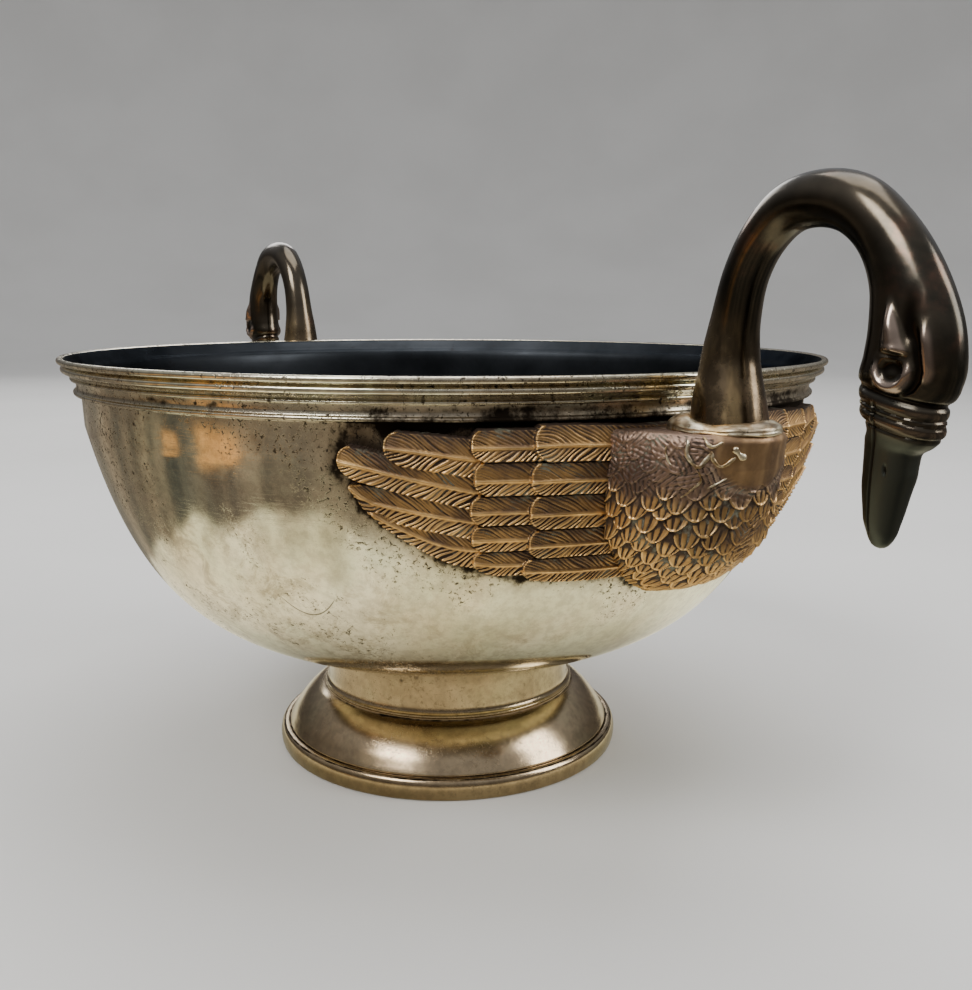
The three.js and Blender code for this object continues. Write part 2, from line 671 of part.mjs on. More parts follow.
// Bead of solder that closes the joint between neck and breast
function neckCollar() {
  const bottom = BODY_SEAT + CLEARANCE;
  const bore = NECK_FOOT_DIAMETER / 2 + CLEARANCE;
  const profile = [
    at(bore, bottom),
    at(COLLAR_RADIUS - 0.5, bottom),
    at(COLLAR_RADIUS, bottom + COLLAR_HEIGHT * 0.4),
    at(COLLAR_RADIUS - 0.7, bottom + COLLAR_HEIGHT * 0.9),
    at(bore + 0.6, bottom + COLLAR_HEIGHT),
    at(bore, bottom + COLLAR_HEIGHT * 0.8),
    at(bore, bottom),
  ];
  const geometry = new THREE.LatheGeometry(profile, 20).rotateX(Math.PI / 2).translate(NECK_X, 0, 0);
  return toSolid(geometry);
}

// One swan with its fixings, named for the side it is on
function swan(side, halfTurn) {
  const group = new THREE.Group();
  group.rotation.z = halfTurn;
  group.add(
    toMesh(`${side}_swan_body`, swanBody(), goldenBronze),
    toMesh(`${side}_swan_neck`, swanNeck(), darkBronze),
    toMesh(`${side}_neck_collar`, neckCollar(), solder),
    toMesh(`${side}_breast_screw`, screw(BREAST_SCREW), brass),
    toMesh(`${side}_front_wing_screw`, screw(WING_SCREWS[0]), brass),
    toMesh(`${side}_back_wing_screw`, screw(WING_SCREWS[1]), brass),
  );
  return group;
}

const foot = footShell();
const fixing = footFixing(foot.web);
const swanBowl = new THREE.Group();
swanBowl.add(
  toMesh("bowl_shell", bowlShell(), silver),
  toMesh("foot_shell", foot.solid, nickel),
  toMesh("foot_stud", fixing.stud, brass),
  toMesh("foot_washer", fixing.washer, brass),
  toMesh("foot_nut", fixing.nut, brass),
  swan("right", 0),
  swan("left", Math.PI),
);

export default swanBowl;
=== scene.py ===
from functools import reduce
import math

import bpy
import numpy as np
from mathutils import Matrix, Vector


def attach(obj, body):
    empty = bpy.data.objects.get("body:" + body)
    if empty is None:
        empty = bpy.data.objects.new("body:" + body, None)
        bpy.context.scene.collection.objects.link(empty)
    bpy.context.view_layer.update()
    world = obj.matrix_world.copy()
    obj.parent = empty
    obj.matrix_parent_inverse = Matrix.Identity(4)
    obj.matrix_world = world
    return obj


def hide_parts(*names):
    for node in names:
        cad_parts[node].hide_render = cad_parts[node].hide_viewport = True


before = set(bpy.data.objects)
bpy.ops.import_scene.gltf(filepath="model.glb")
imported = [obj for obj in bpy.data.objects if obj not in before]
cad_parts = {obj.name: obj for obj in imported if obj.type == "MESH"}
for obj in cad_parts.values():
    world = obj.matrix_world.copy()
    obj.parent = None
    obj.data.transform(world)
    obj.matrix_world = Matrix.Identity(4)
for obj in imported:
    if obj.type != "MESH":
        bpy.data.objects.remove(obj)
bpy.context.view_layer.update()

MM = 0.001

# Bowl, in millimetres as the solids have it
RIM_RADIUS = 125.0
RIM_HEIGHT = 136.5
WALL = 1.6
UNDERSIDE_HEIGHT = 35.6
BODY_RADIUS = 118.0
BODY_TOP = 115.7
WALL_CURVE = ((0.0, UNDERSIDE_HEIGHT), (73.3, UNDERSIDE_HEIGHT), (102.2, 48.0), (BODY_RADIUS, BODY_TOP))
LIP_FLARE = 7.0
NEAR_AXIS = 0.02

# Rim mouldings: outer radius, how far the middle lies below the rim, and thickness
LIP = (RIM_RADIUS, 0.95, 1.9)
SECOND_BEAD = (124.0, 3.5, 2.0)
THIN_RIDGE = (121.5, 6.4, 0.9)
LOWER_BEAD = (120.7, 10.5, 1.3)
COVE_RADIUS = 119.8
LEDGE = RIM_HEIGHT - LOWER_BEAD[1] - LOWER_BEAD[2] / 2

# Foot
BASE_RADIUS = 60.0
NECK_RING_RADIUS = 44.2
FOOT_NECK_RADIUS = 42.6
FOOT_SEAT_RADIUS = 43.4
FOOT_WEB_TOP = 33.4
FOOT_WEB = 2.0
STUD_HOLE_RADIUS = 3.3

# Swan's neck and body
BODY_SEAT = 123.4
NECK_X = 136.6
ARCH_TOP_X = 161.4
WING_TOP = 123.6
BREAST_BOTTOM = 80.2
BREAST_EDGE = 4.4

SIDES = 320
GRID_STEP = 0.21


def smooth(value, low, high):
    """Smoothstep of an array or a number."""
    t = np.clip((np.asarray(value, dtype=float) - low) / (high - low), 0.0, 1.0)
    return t * t * (3.0 - 2.0 * t)


def bump(value, middle, half):
    """A soft bump that is 1 at the middle and 0 at half a width away."""
    t = np.clip(np.abs(np.asarray(value, dtype=float) - middle) / half, 0.0, 1.0)
    return (1.0 - t * t) ** 2


def bezier(points, steps):
    """Points of a cubic Bezier curve."""
    t = np.linspace(0.0, 1.0, steps + 1)[:, None]
    a, b, c, d = (np.array(p) for p in points)
    return a * (1 - t) ** 3 + 3 * b * t * (1 - t) ** 2 + 3 * c * t * t * (1 - t) + d * t ** 3


def spline(points, steps):
    """Points of a Catmull-Rom curve through the given points, steps between each two."""
    p = np.array([points[0], *points, points[-1]], dtype=float)
    t = np.linspace(0.0, 1.0, steps, endpoint=False)[:, None]
    parts = [
        0.5 * (2 * p[i] + (p[i + 1] - p[i - 1]) * t
               + (2 * p[i - 1] - 5 * p[i] + 4 * p[i + 1] - p[i + 2]) * t ** 2
               + (3 * p[i] - p[i - 1] - 3 * p[i + 1] + p[i + 2]) * t ** 3)
        for i in range(1, len(p) - 2)
    ]
    return np.vstack([*parts, p[-1]])


def unit(vectors):
    """Vectors scaled to a length of 1, with their coordinates last."""
    return vectors / (np.linalg.norm(vectors, axis=-1, keepdims=True) + 1e-9)


def offset(points, distance):
    """An open curve moved to its right by a distance."""
    along = unit(np.gradient(points, axis=0))
    return points + np.stack([along[:, 1], -along[:, 0]], 1) * distance


def length_along(line):
    """Distance from a line's start to each of its points, measured in its first two columns."""
    return np.concatenate([[0], np.cumsum(np.hypot(*np.diff(line[:, :2], axis=0).T))])


def places_along(line, distances):
    """Points of a line at distances from its start."""
    run = length_along(line)
    return np.stack([np.interp(distances, run, column) for column in line.T], 1)


def make_mesh(name, points, faces, crease=math.radians(50)):
    """A smooth-shaded object from points in millimetres and faces, as an array of quads or a list."""
    mesh = bpy.data.meshes.new(name)
    places = (np.asarray(points).reshape(-1, 3) * MM).tolist()
    mesh.from_pydata(places, [], faces if isinstance(faces, list) else faces.tolist())
    mesh.validate()
    mesh.polygons.foreach_set("use_smooth", [True] * len(mesh.polygons))
    mesh.set_sharp_from_angle(angle=crease)
    mesh.update()
    made = bpy.data.objects.new(name, mesh)
    bpy.context.scene.collection.objects.link(made)
    return made


def grid_faces(rows, columns, round_columns=False, round_rows=False):
    """Quads between a grid's points, row after row; a round direction joins its last points to its first."""
    r = np.arange(rows if round_rows else rows - 1)[:, None]
    c = np.arange(columns if round_columns else columns - 1)[None, :]
    next_r, next_c = (r + 1) % rows, (c + 1) % columns
    corners = ((r, c), (r, next_c), (next_r, next_c), (next_r, c))
    return np.stack([row * columns + column for row, column in corners], -1).reshape(-1, 4)


def tube_faces(rings, sides, start=0):
    """Faces of a tube through rings of points, with both ends closed, as a list."""
    last = (rings - 1) * sides
    ends = [list(range(sides))[::-1], list(range(last, last + sides))]
    return [[corner + start for corner in face] for face in grid_faces(rings, sides, True).tolist() + ends]


def set_attribute(made, name, values):
    """A number for each vertex, which a material reads by name."""
    layer = made.data.attributes.new(name, "FLOAT", "POINT")
    layer.data.foreach_set("value", np.asarray(values, dtype=np.float32).ravel())


def full_turn(sides):
    """Evenly spaced angles all the way round."""
    return np.linspace(0.0, 2 * math.pi, sides, endpoint=False)


def around_axis(radius, azimuth, height):
    """Points at radii, azimuths and heights round the Z axis, with x, y and z last."""
    return np.stack(np.broadcast_arrays(radius * np.cos(azimuth), radius * np.sin(azimuth), height), -1)


def turned(name, profile, sides=SIDES, crease=math.radians(50)):
    """A profile of (radius, height) points turned about the Z axis."""
    p = np.array(profile)
    points = around_axis(p[:, :1], full_turn(sides), p[:, 1:])
    return make_mesh(name, points, grid_faces(len(p), sides, True), crease)


def arc(centre, radius, start, end, steps):
    """Points of an arc in the (radius, height) plane; angles in degrees from the outward direction."""
    turn = np.radians(np.linspace(start, end, steps + 1))
    return np.stack([centre[0] + radius * np.cos(turn), centre[1] + radius * np.sin(turn)], 1)


def bead(radius, drop, thickness, steps=8):
    """Half-round bead of the rim, from its lower edge to its upper edge."""
    half = thickness / 2
    return arc((radius - half, RIM_HEIGHT - drop), half, -90, 90, steps)


wall_line = bezier(WALL_CURVE, 72)


def wall_radius(height):
    """Outer radius of the bowl's wall at a height."""
    return np.interp(height, wall_line[:, 1], wall_line[:, 0])


def bowl():
    """The spun bowl with its moulded rim."""
    inside = offset(wall_line, -WALL)[::-1]
    inside = inside[inside[:, 0] > 0.5]
    lip_inside = RIM_RADIUS - 1.9
    lip = spline([
        (lip_inside, RIM_HEIGHT - 0.35), (lip_inside - 1.2, RIM_HEIGHT - 1.1), (119.6, RIM_HEIGHT - 3.6),
        (BODY_RADIUS - WALL + 0.6, RIM_HEIGHT - LIP_FLARE), inside[0],
    ], 6)
    profile = np.vstack([
        [(NEAR_AXIS, UNDERSIDE_HEIGHT)],
        wall_line[1:],
        [(BODY_RADIUS + 0.4, LEDGE - 0.5), (BODY_RADIUS + 0.7, LEDGE - 0.1)],
        bead(*LOWER_BEAD, 6),
        spline([(COVE_RADIUS + 0.1, 126.9), (COVE_RADIUS - 0.1, 128.0), (COVE_RADIUS + 0.3, 129.4)], 4),
        bead(*THIN_RIDGE, 5),
        [(121.6, 131.0)],
        bead(*SECOND_BEAD),
        [(123.7, 134.5), (123.8, 134.6)],
        bead(*LIP),
        lip,
        inside[1:],
        [(NEAR_AXIS, UNDERSIDE_HEIGHT + WALL)],
    ])
    return turned("bowl", profile)


def foot():
    """The spun pedestal foot, hollow underneath, with a web that the stud pulls against."""
    base, ring, neck = BASE_RADIUS, NECK_RING_RADIUS, FOOT_NECK_RADIUS
    seat = float(np.interp(FOOT_SEAT_RADIUS, wall_line[:, 0], wall_line[:, 1])) - 0.05
    web_bottom = FOOT_WEB_TOP - FOOT_WEB
    flare = spline([(44.3, 20.4), (47.2, 18.9), (50.6, 16.0), (53.8, 12.2), (55.9, 9.0), (56.9, 7.3)], 8)
    inner = spline([(42.8, 20.0), (45.6, 18.1), (49.0, 15.1), (52.2, 11.4), (54.2, 8.2), (55.2, 6.3),
                    (55.8, 2.8)], 6)
    profile = np.vstack([
        [(base - 4.2, 0.15), (base - 4.0, 0.0), (base - 1.1, 0.0)],
        spline([(base - 1.1, 0.0), (base - 0.4, 0.6), (base, 2.4), (base, 4.2), (base - 0.5, 6.0),
                (base - 1.5, 7.0), (base - 2.6, 7.0)], 5),
        [(base - 3.0, 6.7), (base - 3.2, 6.7)],
        flare[::-1][1:],
        [(ring + 0.05, 20.6), (ring, 20.9)],
        arc((ring - 0.5, 21.4), 0.48, -60, 100, 8),
        spline([(neck + 0.3, 22.6), (neck, 24.5), (neck, 31.0), (neck + 0.3, 34.6),
                (FOOT_SEAT_RADIUS, seat)], 6),
        [(neck - 0.7, seat - 0.1), (neck - WALL, FOOT_WEB_TOP), (STUD_HOLE_RADIUS, FOOT_WEB_TOP)],
        [(STUD_HOLE_RADIUS, web_bottom), (neck - WALL, web_bottom)],
        inner,
        [(base - 4.2, 0.15)],
    ])
    return turned("foot", profile, crease=math.radians(40))


# Neck, head, band and beak from the neck's foot to the beak's tip: x, z, depth in the handle's plane, width
NECK_STATIONS = (
    (136.9, 123.8, 19.0, 19.0), (136.9, 126.0, 18.4, 18.4), (136.4, 131.5, 17.1, 16.8),
    (136.4, 137.2, 14.8, 14.6), (136.5, 142.0, 13.3, 13.3), (137.6, 149.7, 11.4, 11.4),
    (140.1, 159.1, 10.4, 10.6), (145.0, 167.2, 10.5, 10.7), (152.4, 173.1, 11.2, 11.3),
    (161.4, 174.6, 11.8, 11.8), (170.3, 172.6, 12.3, 12.0), (177.5, 166.9, 12.6, 11.6),
    (182.7, 159.1, 15.0, 12.2), (185.6, 149.8, 19.1, 13.4), (186.2, 142.5, 21.1, 13.8),
    (185.4, 138.6, 21.2, 13.5), (185.0, 136.6, 20.4, 12.9), (184.7, 134.9, 18.6, 12.1),
    (184.5, 132.6, 17.6, 11.8), (184.6, 130.2, 16.9, 11.5), (184.9, 128.4, 15.6, 10.9),
    (184.2, 126.7, 13.6, 9.9), (182.9, 125.2, 11.8, 9.3), (182.6, 122.8, 11.2, 9.1),
    (182.4, 119.5, 10.9, 8.8), (181.9, 116.1, 10.1, 8.2), (181.6, 111.9, 8.8, 7.1),
    (181.4, 109.3, 7.8, 6.3), (181.5, 107.2, 6.5, 5.3), (181.4, 105.6, 5.1, 4.1), (181.4, 104.6, 3.5, 2.8),
    (181.4, 104.1, 1.9, 1.5), (181.4, 103.9, 0.4, 0.3),
)


def neck_path():
    """The stations as a smooth line with even steps."""
    line = spline(NECK_STATIONS, 14)
    length = length_along(line)[-1]
    return places_along(line, np.linspace(0, length, int(length / 0.3)))


def superellipse(turn, power):
    """A rounded section: power 2 is an ellipse, and more is boxier."""
    c, s = np.cos(turn), np.sin(turn)
    scale = (np.abs(c) ** power + np.abs(s) ** power) ** (-1.0 / power)
    return c * scale, s * scale


def cheek_relief(x, z):
    """How far the head's cheeks stand out, in millimetres, at places in the handle's plane."""
    eye_x, eye_z = 186.2, 140.6
    across = np.hypot((x - eye_x) / 1.05, z - eye_z)
    lid = (0.2 + 1.0 * smooth(eye_z + 0.8 - z, -1.5, 2.5)) * bump(across, 3.5, 1.7)
    socket = -1.15 * bump(across, 0.0, 3.0)
    ball = 0.95 * bump(np.hypot(x - eye_x, z - eye_z + 0.6), 0.0, 2.4)
    brow_axis = np.interp(z, [145.0, 150.0, 154.0], [186.4, 185.3, 184.6])
    brow_width = np.interp(z, [143.5, 146.0, 149.0, 152.0, 155.0], [3.9, 3.5, 2.3, 1.5, 0.8])
    brow_edge = 144.2 - 0.12 * (x - 185.5)
    brow = 1.75 * bump((x - brow_axis) / brow_width, 0.0, 1.0) * smooth(z, brow_edge - 0.4, brow_edge + 0.5)
    brow = brow * (1 - smooth(z, 148.0, 155.0))
    under_brow = -0.7 * bump(z, brow_edge - 0.7, 0.9) * bump(x, 186.2, 3.4)
    cheek_x = np.interp(z, [135.2, 136.5, 138.5, 140.4, 145.4, 150.0],
                        [186.8, 189.3, 190.7, 191.1, 190.3, 189.4])
    fade = smooth(z, 135.0, 137.0) * (1 - smooth(z, 145.0, 151.0))
    crease = -0.8 * bump(x, cheek_x + 0.5, 1.3) * fade
    ridge = 0.8 * bump(x, cheek_x + 2.4, 1.6) * smooth(z, 137.0, 140.0) * (1 - smooth(z, 146.0, 151.0))
    temple = -0.45 * bump(x, 188.9, 2.2) * smooth(z, 144.0, 147.0) * (1 - smooth(z, 150.0, 158.0))
    mouth_x = np.interp(z, [106.0, 110.5, 120.6, 128.0, 134.0], [180.1, 180.3, 181.2, 181.8, 182.0])
    mouth = -0.5 * bump(x, mouth_x, 0.55) * smooth(z, 105.5, 108.0) * (1 - smooth(z, 133.0, 134.5))
    jaw = -0.25 * smooth(mouth_x - x, 0.0, 0.8) * (1 - smooth(z, 125.5, 127.5))
    nostril = -0.45 * bump(np.hypot((x - 184.4) / 0.5, (z - 120.8) / 1.6), 0.0, 1.0)
    return lid + socket + ball + brow + under_brow + crease + ridge + temple + mouth + jaw + nostril


def band_relief(x, z):
    """Broad rings with a fine one between them round the beak's root, lower at the back of the head."""
    slant = z + 0.22 * (x - 184.0)
    ridges = 0.32 * bump(slant, 133.9, 1.5) + 0.2 * bump(slant, 132.15, 0.7) + 0.32 * bump(slant, 130.4, 1.6)
    grooves = 0.5 * bump(slant, 135.8, 1.1) + 0.16 * bump(slant, 132.7, 0.4) + 0.16 * bump(slant, 131.6, 0.4)
    return ridges - grooves - 0.35 * bump(slant, 128.9, 0.6)


def swan_neck(name):
    """Neck, arch, head and beak as one sculpted loft along the handle's plane."""
    path = neck_path()
    around = 176
    turn = full_turn(around)
    window = int(10.0 / np.hypot(*(path[1, :2] - path[0, :2])))
    steps = np.gradient(path[:, :2], axis=0)
    padded = np.pad(steps, ((window, window), (0, 0)), mode="edge")
    weights = np.hanning(2 * window + 1)
    along = unit(np.stack([np.convolve(padded[:, i], weights, mode="valid") for i in range(2)], 1))
    along[0] = (0.0, 1.0)
    hanging = path[:, 0] > ARCH_TOP_X
    power = np.interp(path[:, 1], [104.0, 126.0, 133.0, 150.0], [2.0, 2.4, 2.25, 2.0])
    power = np.where(hanging, power, 2.0)
    c, s = np.stack([np.stack(superellipse(turn, p)) for p in power], 1)
    depth, width = path[:, 2:3] / 2, path[:, 3:4] / 2
    x = path[:, :1] + along[:, 1:2] * depth * c
    z = path[:, 1:2] - along[:, :1] * depth * c
    on_head = hanging[:, None] * smooth(170.0 - path[:, 1:2], 0.0, 8.0)
    rings = band_relief(x, z) * on_head
    x = x + along[:, 1:2] * rings * c
    z = z - along[:, :1] * rings * c
    cheeks = cheek_relief(x, z) * on_head * smooth(np.abs(s), 0.3, 0.8)
    y = width * s + rings * s + np.sign(s) * cheeks
    made = make_mesh(name, np.stack([x, y, z], -1), tube_faces(len(path), around), math.radians(60))
    relief = rings + cheeks
    # Hollows get a painted shade number and raised relief a painted highlight number.
    set_attribute(made, "recess", np.clip(-1.4 * relief, 0.0, 1.0).ravel())
    set_attribute(made, "crest", np.clip(1.2 * relief, 0.0, 1.0).ravel())
    set_attribute(made, "foot", np.repeat(~hanging * (1 - smooth(path[:, 1], 126.0, 160.0)), around))
    set_attribute(made, "beak", np.repeat(hanging * (1 - smooth(path[:, 1], 126.5, 129.5)), around))
    return made


# Wing feathers: places across the wing are arc lengths in millimetres from the handle's plane at this radius
ARC_RADIUS = 120.0


def arc_length(degrees):
    return math.radians(degrees) * ARC_RADIUS


# Rows of short feathers: how far they reach, and the heights between one feather and the next
INNER_TIP = arc_length(19.8)
OUTER_TIP = arc_length(26.4)
INNER_EDGES = (124.2, 115.4, 107.4, 98.8, 91.2, 84.0)
OUTER_EDGES = (124.0, 116.3, 107.9, 100.3, 93.4, 86.6)
# Each primary: the middle line from the seam to the tip, half width, and the tip's place
PRIMARIES = (
    {"line": ((26.0, 117.0), (31.0, 118.4), (36.3, 119.8)), "half": 4.9, "tip": 36.2, "blunt": 0.75},
    {"line": ((26.0, 109.0), (33.0, 112.2), (41.6, 116.6)), "half": 5.0, "tip": 41.4, "blunt": 0.7},
    {"line": ((26.0, 101.4), (32.0, 103.6), (40.4, 107.4)), "half": 4.9, "tip": 40.3, "blunt": 0.8},
    {"line": ((26.0, 94.0), (30.5, 95.4), (37.6, 100.0)), "half": 5.2, "tip": 37.9, "blunt": 0.6},
)
BARB_PITCH = 1.55
# Lower edge of the wing: azimuth in degrees, and height
WING_EDGE = (
    (0, 82.6), (9, 83.4), (16, 84.4), (20.2, 85.4), (23.6, 86.8), (28.5, 89.8), (31.3, 92.6), (34, 96.0),
    (36.4, 99.6), (38.8, 104.4), (40.3, 109.0), (41.6, 114.0),
)


def scatter(row, column, seed):
    """A repeatable number from 0 to 1 for each scale or barb."""
    value = np.sin(row * 127.1 + column * 311.7 + seed * 74.7) * 43758.5453
    return value - np.floor(value)


def barb_grooves(distance, width, over_quill, seed):
    """Grooves between the barbs, 1 in a groove, leaning towards the tip; distance is from the tip."""
    lean = np.where(over_quill, 1.5, 1.2) * (1.0 + 0.9 * np.exp(-np.maximum(distance, 0.0) / 3.0))
    phase = (distance + lean * width) / BARB_PITCH + 0.3 * np.sin(distance * 0.6 + seed * 9)
    phase = phase + 0.14 * np.sin(width * 2.1 + distance * 0.9 + seed * 5) + seed
    barb = np.round(phase)
    depth = 0.4 + 0.6 * scatter(barb, np.where(over_quill, 1.0, 2.0), seed)
    return depth * (1 - smooth(np.abs(phase - barb), 0.12, 0.38))


def feather(s, z, start, tip, upper, lower, lift, round_tip, quill=0.6, seed=0.0):
    """Height of one feather over the wall, with its recesses and crests; outside it the height is far down.
    upper and lower are its edges at each place, and quill is where the quill lies between them."""
    middle = upper + (lower - upper) * quill
    over_quill = z > middle
    half = np.where(over_quill, upper - middle, middle - lower)
    width = np.abs(z - middle)
    d = width / half
    from_middle = (z - (upper + lower) / 2) / ((upper - lower) / 2)
    reach = tip - round_tip * np.abs(from_middle) ** 3 * np.where(from_middle < 0, 1.35, 0.75)
    inside = (d <= 1.0) & (s <= reach) & (s >= start)
    edge = np.minimum((1 - d) * half, reach - s)
    groove = barb_grooves(tip - s, width, over_quill, seed) * smooth(width, 0.25, 0.9)
    groove = groove * np.where(over_quill, 0.75 * (1 - 0.5 * d), 1.0)
    slope = np.where(over_quill, 0.6 * (1 - d), 0.6 + 0.3 * d)
    quill_line = bump(width, 0.0, 0.5)
    at_tip = 1 - smooth(reach - s, 0.8, 1.4)
    lip = bump(edge, 0.35, 0.4) * np.maximum(at_tip, np.where(over_quill, 0.1, 0.6 * (1 - groove)))
    tilt = 0.5 * smooth(s, tip - 8.0, tip)
    relief = slope + tilt + 0.3 * quill_line - 0.5 * groove + 0.25 * lip
    height = lift - 0.8 + relief - 0.9 * (1 - smooth(edge, -0.1, 0.35))
    # Painted shade: the upper vane darkens towards the feather above, and each feather's edge darkens into
    # the gap.
    shade = np.where(over_quill, 0.08 + 0.4 * smooth(d, 0.3, 0.9), 0.0)
    recess = 1.3 * groove + shade * (1 - at_tip) + (1 - smooth(edge, 0.0, 0.3))
    crest = 0.35 * quill_line + 0.7 * lip + np.where(over_quill, 0.2 * (1 - d), 0.3 + 0.4 * d) * (1 - groove)
    return np.where(inside, height, -50.0), np.where(inside, recess, 0.0), np.where(inside, crest, 0.0)


def wing_height(s, z):
    """Highest of all feathers at each place of the wing, with its recess and crest."""
    best = np.stack([np.full(s.shape, -50.0), np.zeros(s.shape), np.zeros(s.shape)])

    def over(shape):
        best[:] = np.where(shape[0] > best[0], np.stack(shape), best)

    azimuth = np.degrees(s / ARC_RADIUS)
    bottom = np.interp(azimuth, [p[0] for p in WING_EDGE], [p[1] for p in WING_EDGE])
    for i, shape in enumerate(PRIMARIES):
        xs = [arc_length(p[0]) for p in shape["line"]]
        centre = np.interp(s, xs, [p[1] for p in shape["line"]])
        start, tip = arc_length(25.0), arc_length(shape["tip"])
        share = np.clip((s - start) / (tip - start), 0, 1)
        half = shape["half"] * (1.0 - 0.18 * share)
        upper = np.minimum(centre + half, WING_TOP + 0.2)
        lower = np.maximum(centre - half, bottom)
        blunt = 5.0 * shape["blunt"]
        over(feather(s, z, start - 1, tip, upper, lower, 4.1 + 0.3 * i, blunt, 0.52, 0.1 + i * 0.37))
    for i, (top, low) in enumerate(zip(OUTER_EDGES, OUTER_EDGES[1:])):
        upper = np.full(s.shape, top)
        lower = np.maximum(np.full(s.shape, low), bottom)
        over(feather(s, z, arc_length(18.5), OUTER_TIP + (0.4, -0.3, 0.5, 0.0, -0.5)[i], upper, lower,
                     5.2 + 0.1 * i, 2.4, 0.56, 0.5 + i * 0.61))
    for i, (top, low) in enumerate(zip(INNER_EDGES, INNER_EDGES[1:])):
        drift = 1.4 * smooth(s, 10.0, 34.0)
        upper = top + drift * (0.6, 0.5, 0.3, 0.1, 0.0)[i]
        lower = np.maximum(low + drift * (0.5, 0.3, 0.1, 0.0, 0.0)[i], bottom)
        over(feather(s, z, -2.0, INNER_TIP + (-0.4, 0.3, 0.0, -0.4, 0.5)[i], upper, lower,
                     5.9 + 0.1 * i, 2.6, 0.56, 0.2 + i * 0.83))
    return best


def wing(name, side):
    """One wing as a fine relief laid on the wall; side is +1 or -1 across the handle's plane."""
    s_values = np.arange(0.0, arc_length(43.0), GRID_STEP)
    z_values = np.arange(80.0, 126.0, GRID_STEP)
    s, z = np.meshgrid(s_values, z_values, indexing="ij")
    height, recess, crest = wing_height(s, z)
    used = height > -10
    spread = used
    for _ in range(2):
        wide = np.pad(spread, 1)
        spread = spread | wide[:-2, 1:-1] | wide[2:, 1:-1] | wide[1:-1, :-2] | wide[1:-1, 2:]
    proud = np.where(used, height, -0.9)
    points = around_axis(wall_radius(z) + proud, side * s / ARC_RADIUS, z).reshape(-1, 3)
    faces = grid_faces(*s.shape)
    if side < 0:
        faces = faces[:, ::-1]
    faces = faces[spread.ravel()[faces].all(1)]
    kept, renumbered = np.unique(faces, return_inverse=True)
    made = make_mesh(name, points[kept], renumbered.reshape(-1, 4), math.radians(75))
    # Beside the feathers, where the wing sinks to the wall, the recess is full: painted shade in the gap.
    for attribute, values, at_rim in (("recess", recess, 1.0), ("crest", crest, 0.0)):
        set_attribute(made, attribute, np.clip(np.where(used, values, at_rim), 0, 1).ravel()[kept])
    return made


def scales(across, down):
    """Overlapping petal scales at places across and down the breast: relief, recess and crest."""
    width, pitch = 6.7, 3.0
    best = np.full(across.shape, -50.0)
    recess = np.ones(across.shape)
    crest = np.zeros(across.shape)
    base_row = np.floor(down / pitch)
    for shift in (1, 0, -1, -2):
        row = base_row + shift
        stagger = 0.5 * np.mod(row, 2) + 0.22 * (scatter(row, 0.0, 4.0) - 0.5)
        column = np.floor(across / width + stagger)
        wobble = scatter(row, column, 1.0) - 0.5
        u = (across - (column + 0.5 - stagger) * width) / (width / 2) + wobble * 0.3
        long = pitch * (1.9 + 0.55 * scatter(row, column, 2.0))
        v = (down - row * pitch + wobble * 1.1) / long
        u = u + 0.3 * (scatter(row, column, 3.0) - 0.5) * v
        outline = 1.05 * np.clip(1.0 - np.clip(v, 0, 1) ** 3.0, 0, 1) ** 0.66
        inside = (np.abs(u) <= outline) & (v >= 0) & (v <= 1)
        edge = np.minimum((outline - np.abs(u)) * width / 2, (1 - v) * long * 0.9)
        low = smooth(v, 0.3, 0.62)
        strokes = smooth(np.cos(2 * math.pi * (1.7 * u / np.maximum(outline, 0.4) + wobble)), 0.1, 0.75)
        strokes = strokes * smooth(edge, 0.35, 0.75) * low * (0.6 + 0.4 * scatter(row, column, 6.0))
        height = 0.1 + 1.2 * v + 0.25 * (1 - u * u) + 0.2 * bump(edge, 0.35, 0.35) - 0.4 * strokes
        height = height - 0.6 * (1 - smooth(edge, -0.05, 0.25))
        # Painted shadow in the gap just outside each scale's edge, under the scale above.
        gap = (edge < 0) & (edge > -0.9) & (v > 0.25) & (v < 1.3)
        recess = np.where(gap, np.maximum(recess, 1.35 + edge), recess)
        wins = inside & (height > best)
        best = np.where(wins, height, best)
        # Each scale's upper part, under the row above, is dark as painted shade and its lower part light as
        # painted light; the strokes are the chasing.
        dark = 1.3 * strokes + 0.75 * (1 - low) + (1 - smooth(edge, 0.0, 0.3))
        light = bump(edge, 0.35, 0.4) * (0.1 + 0.55 * low) + 0.45 * low * (1 - strokes)
        recess = np.where(wins, dark, recess)
        crest = np.where(wins, light, crest)
    return np.where(best > -10, best, 0.0), recess, crest


def chased(across, down):
    """Patches of fine engraved strokes, each in its own direction, 0 in a stroke and 1 between strokes."""
    column = np.floor(across / 5.2 + 0.35 * np.sin(down * 0.5))
    row = np.floor(down / 4.3 + 0.3 * np.sin(across * 0.4))
    lean = math.pi * (0.25 + 0.6 * scatter(row, column, 7.0))
    along = across * np.cos(lean) + down * np.sin(lean)
    strokes = np.sin(along * 5.6 + 0.6 * np.sin(across * 0.9 + down * 0.7) + 6.0 * scatter(row, column, 8.0))
    faint = 0.35 + 0.65 * scatter(row, column, 9.0)
    return 1 - faint * (1 - smooth(strokes, -0.85, -0.1))


# Breast: how far its middle stands out from the wall, and its half width, at heights
BREAST_REACHES = (
    (80.2, 6.2), (81.2, 12.4), (82.5, 16.5), (86.0, 23.3), (91.0, 27.4), (98.0, 29.2), (106.0, 28.5),
    (115.0, 29.2), (122.0, 30.8),
)
BREAST_HALVES = (
    (80.2, 2.0), (81.0, 5.0), (83.0, 8.3), (87.3, 12.4), (93.4, 17.0), (98.0, 19.4), (106.0, 20.8),
    (113.0, 22.0), (122.0, 22.0),
)


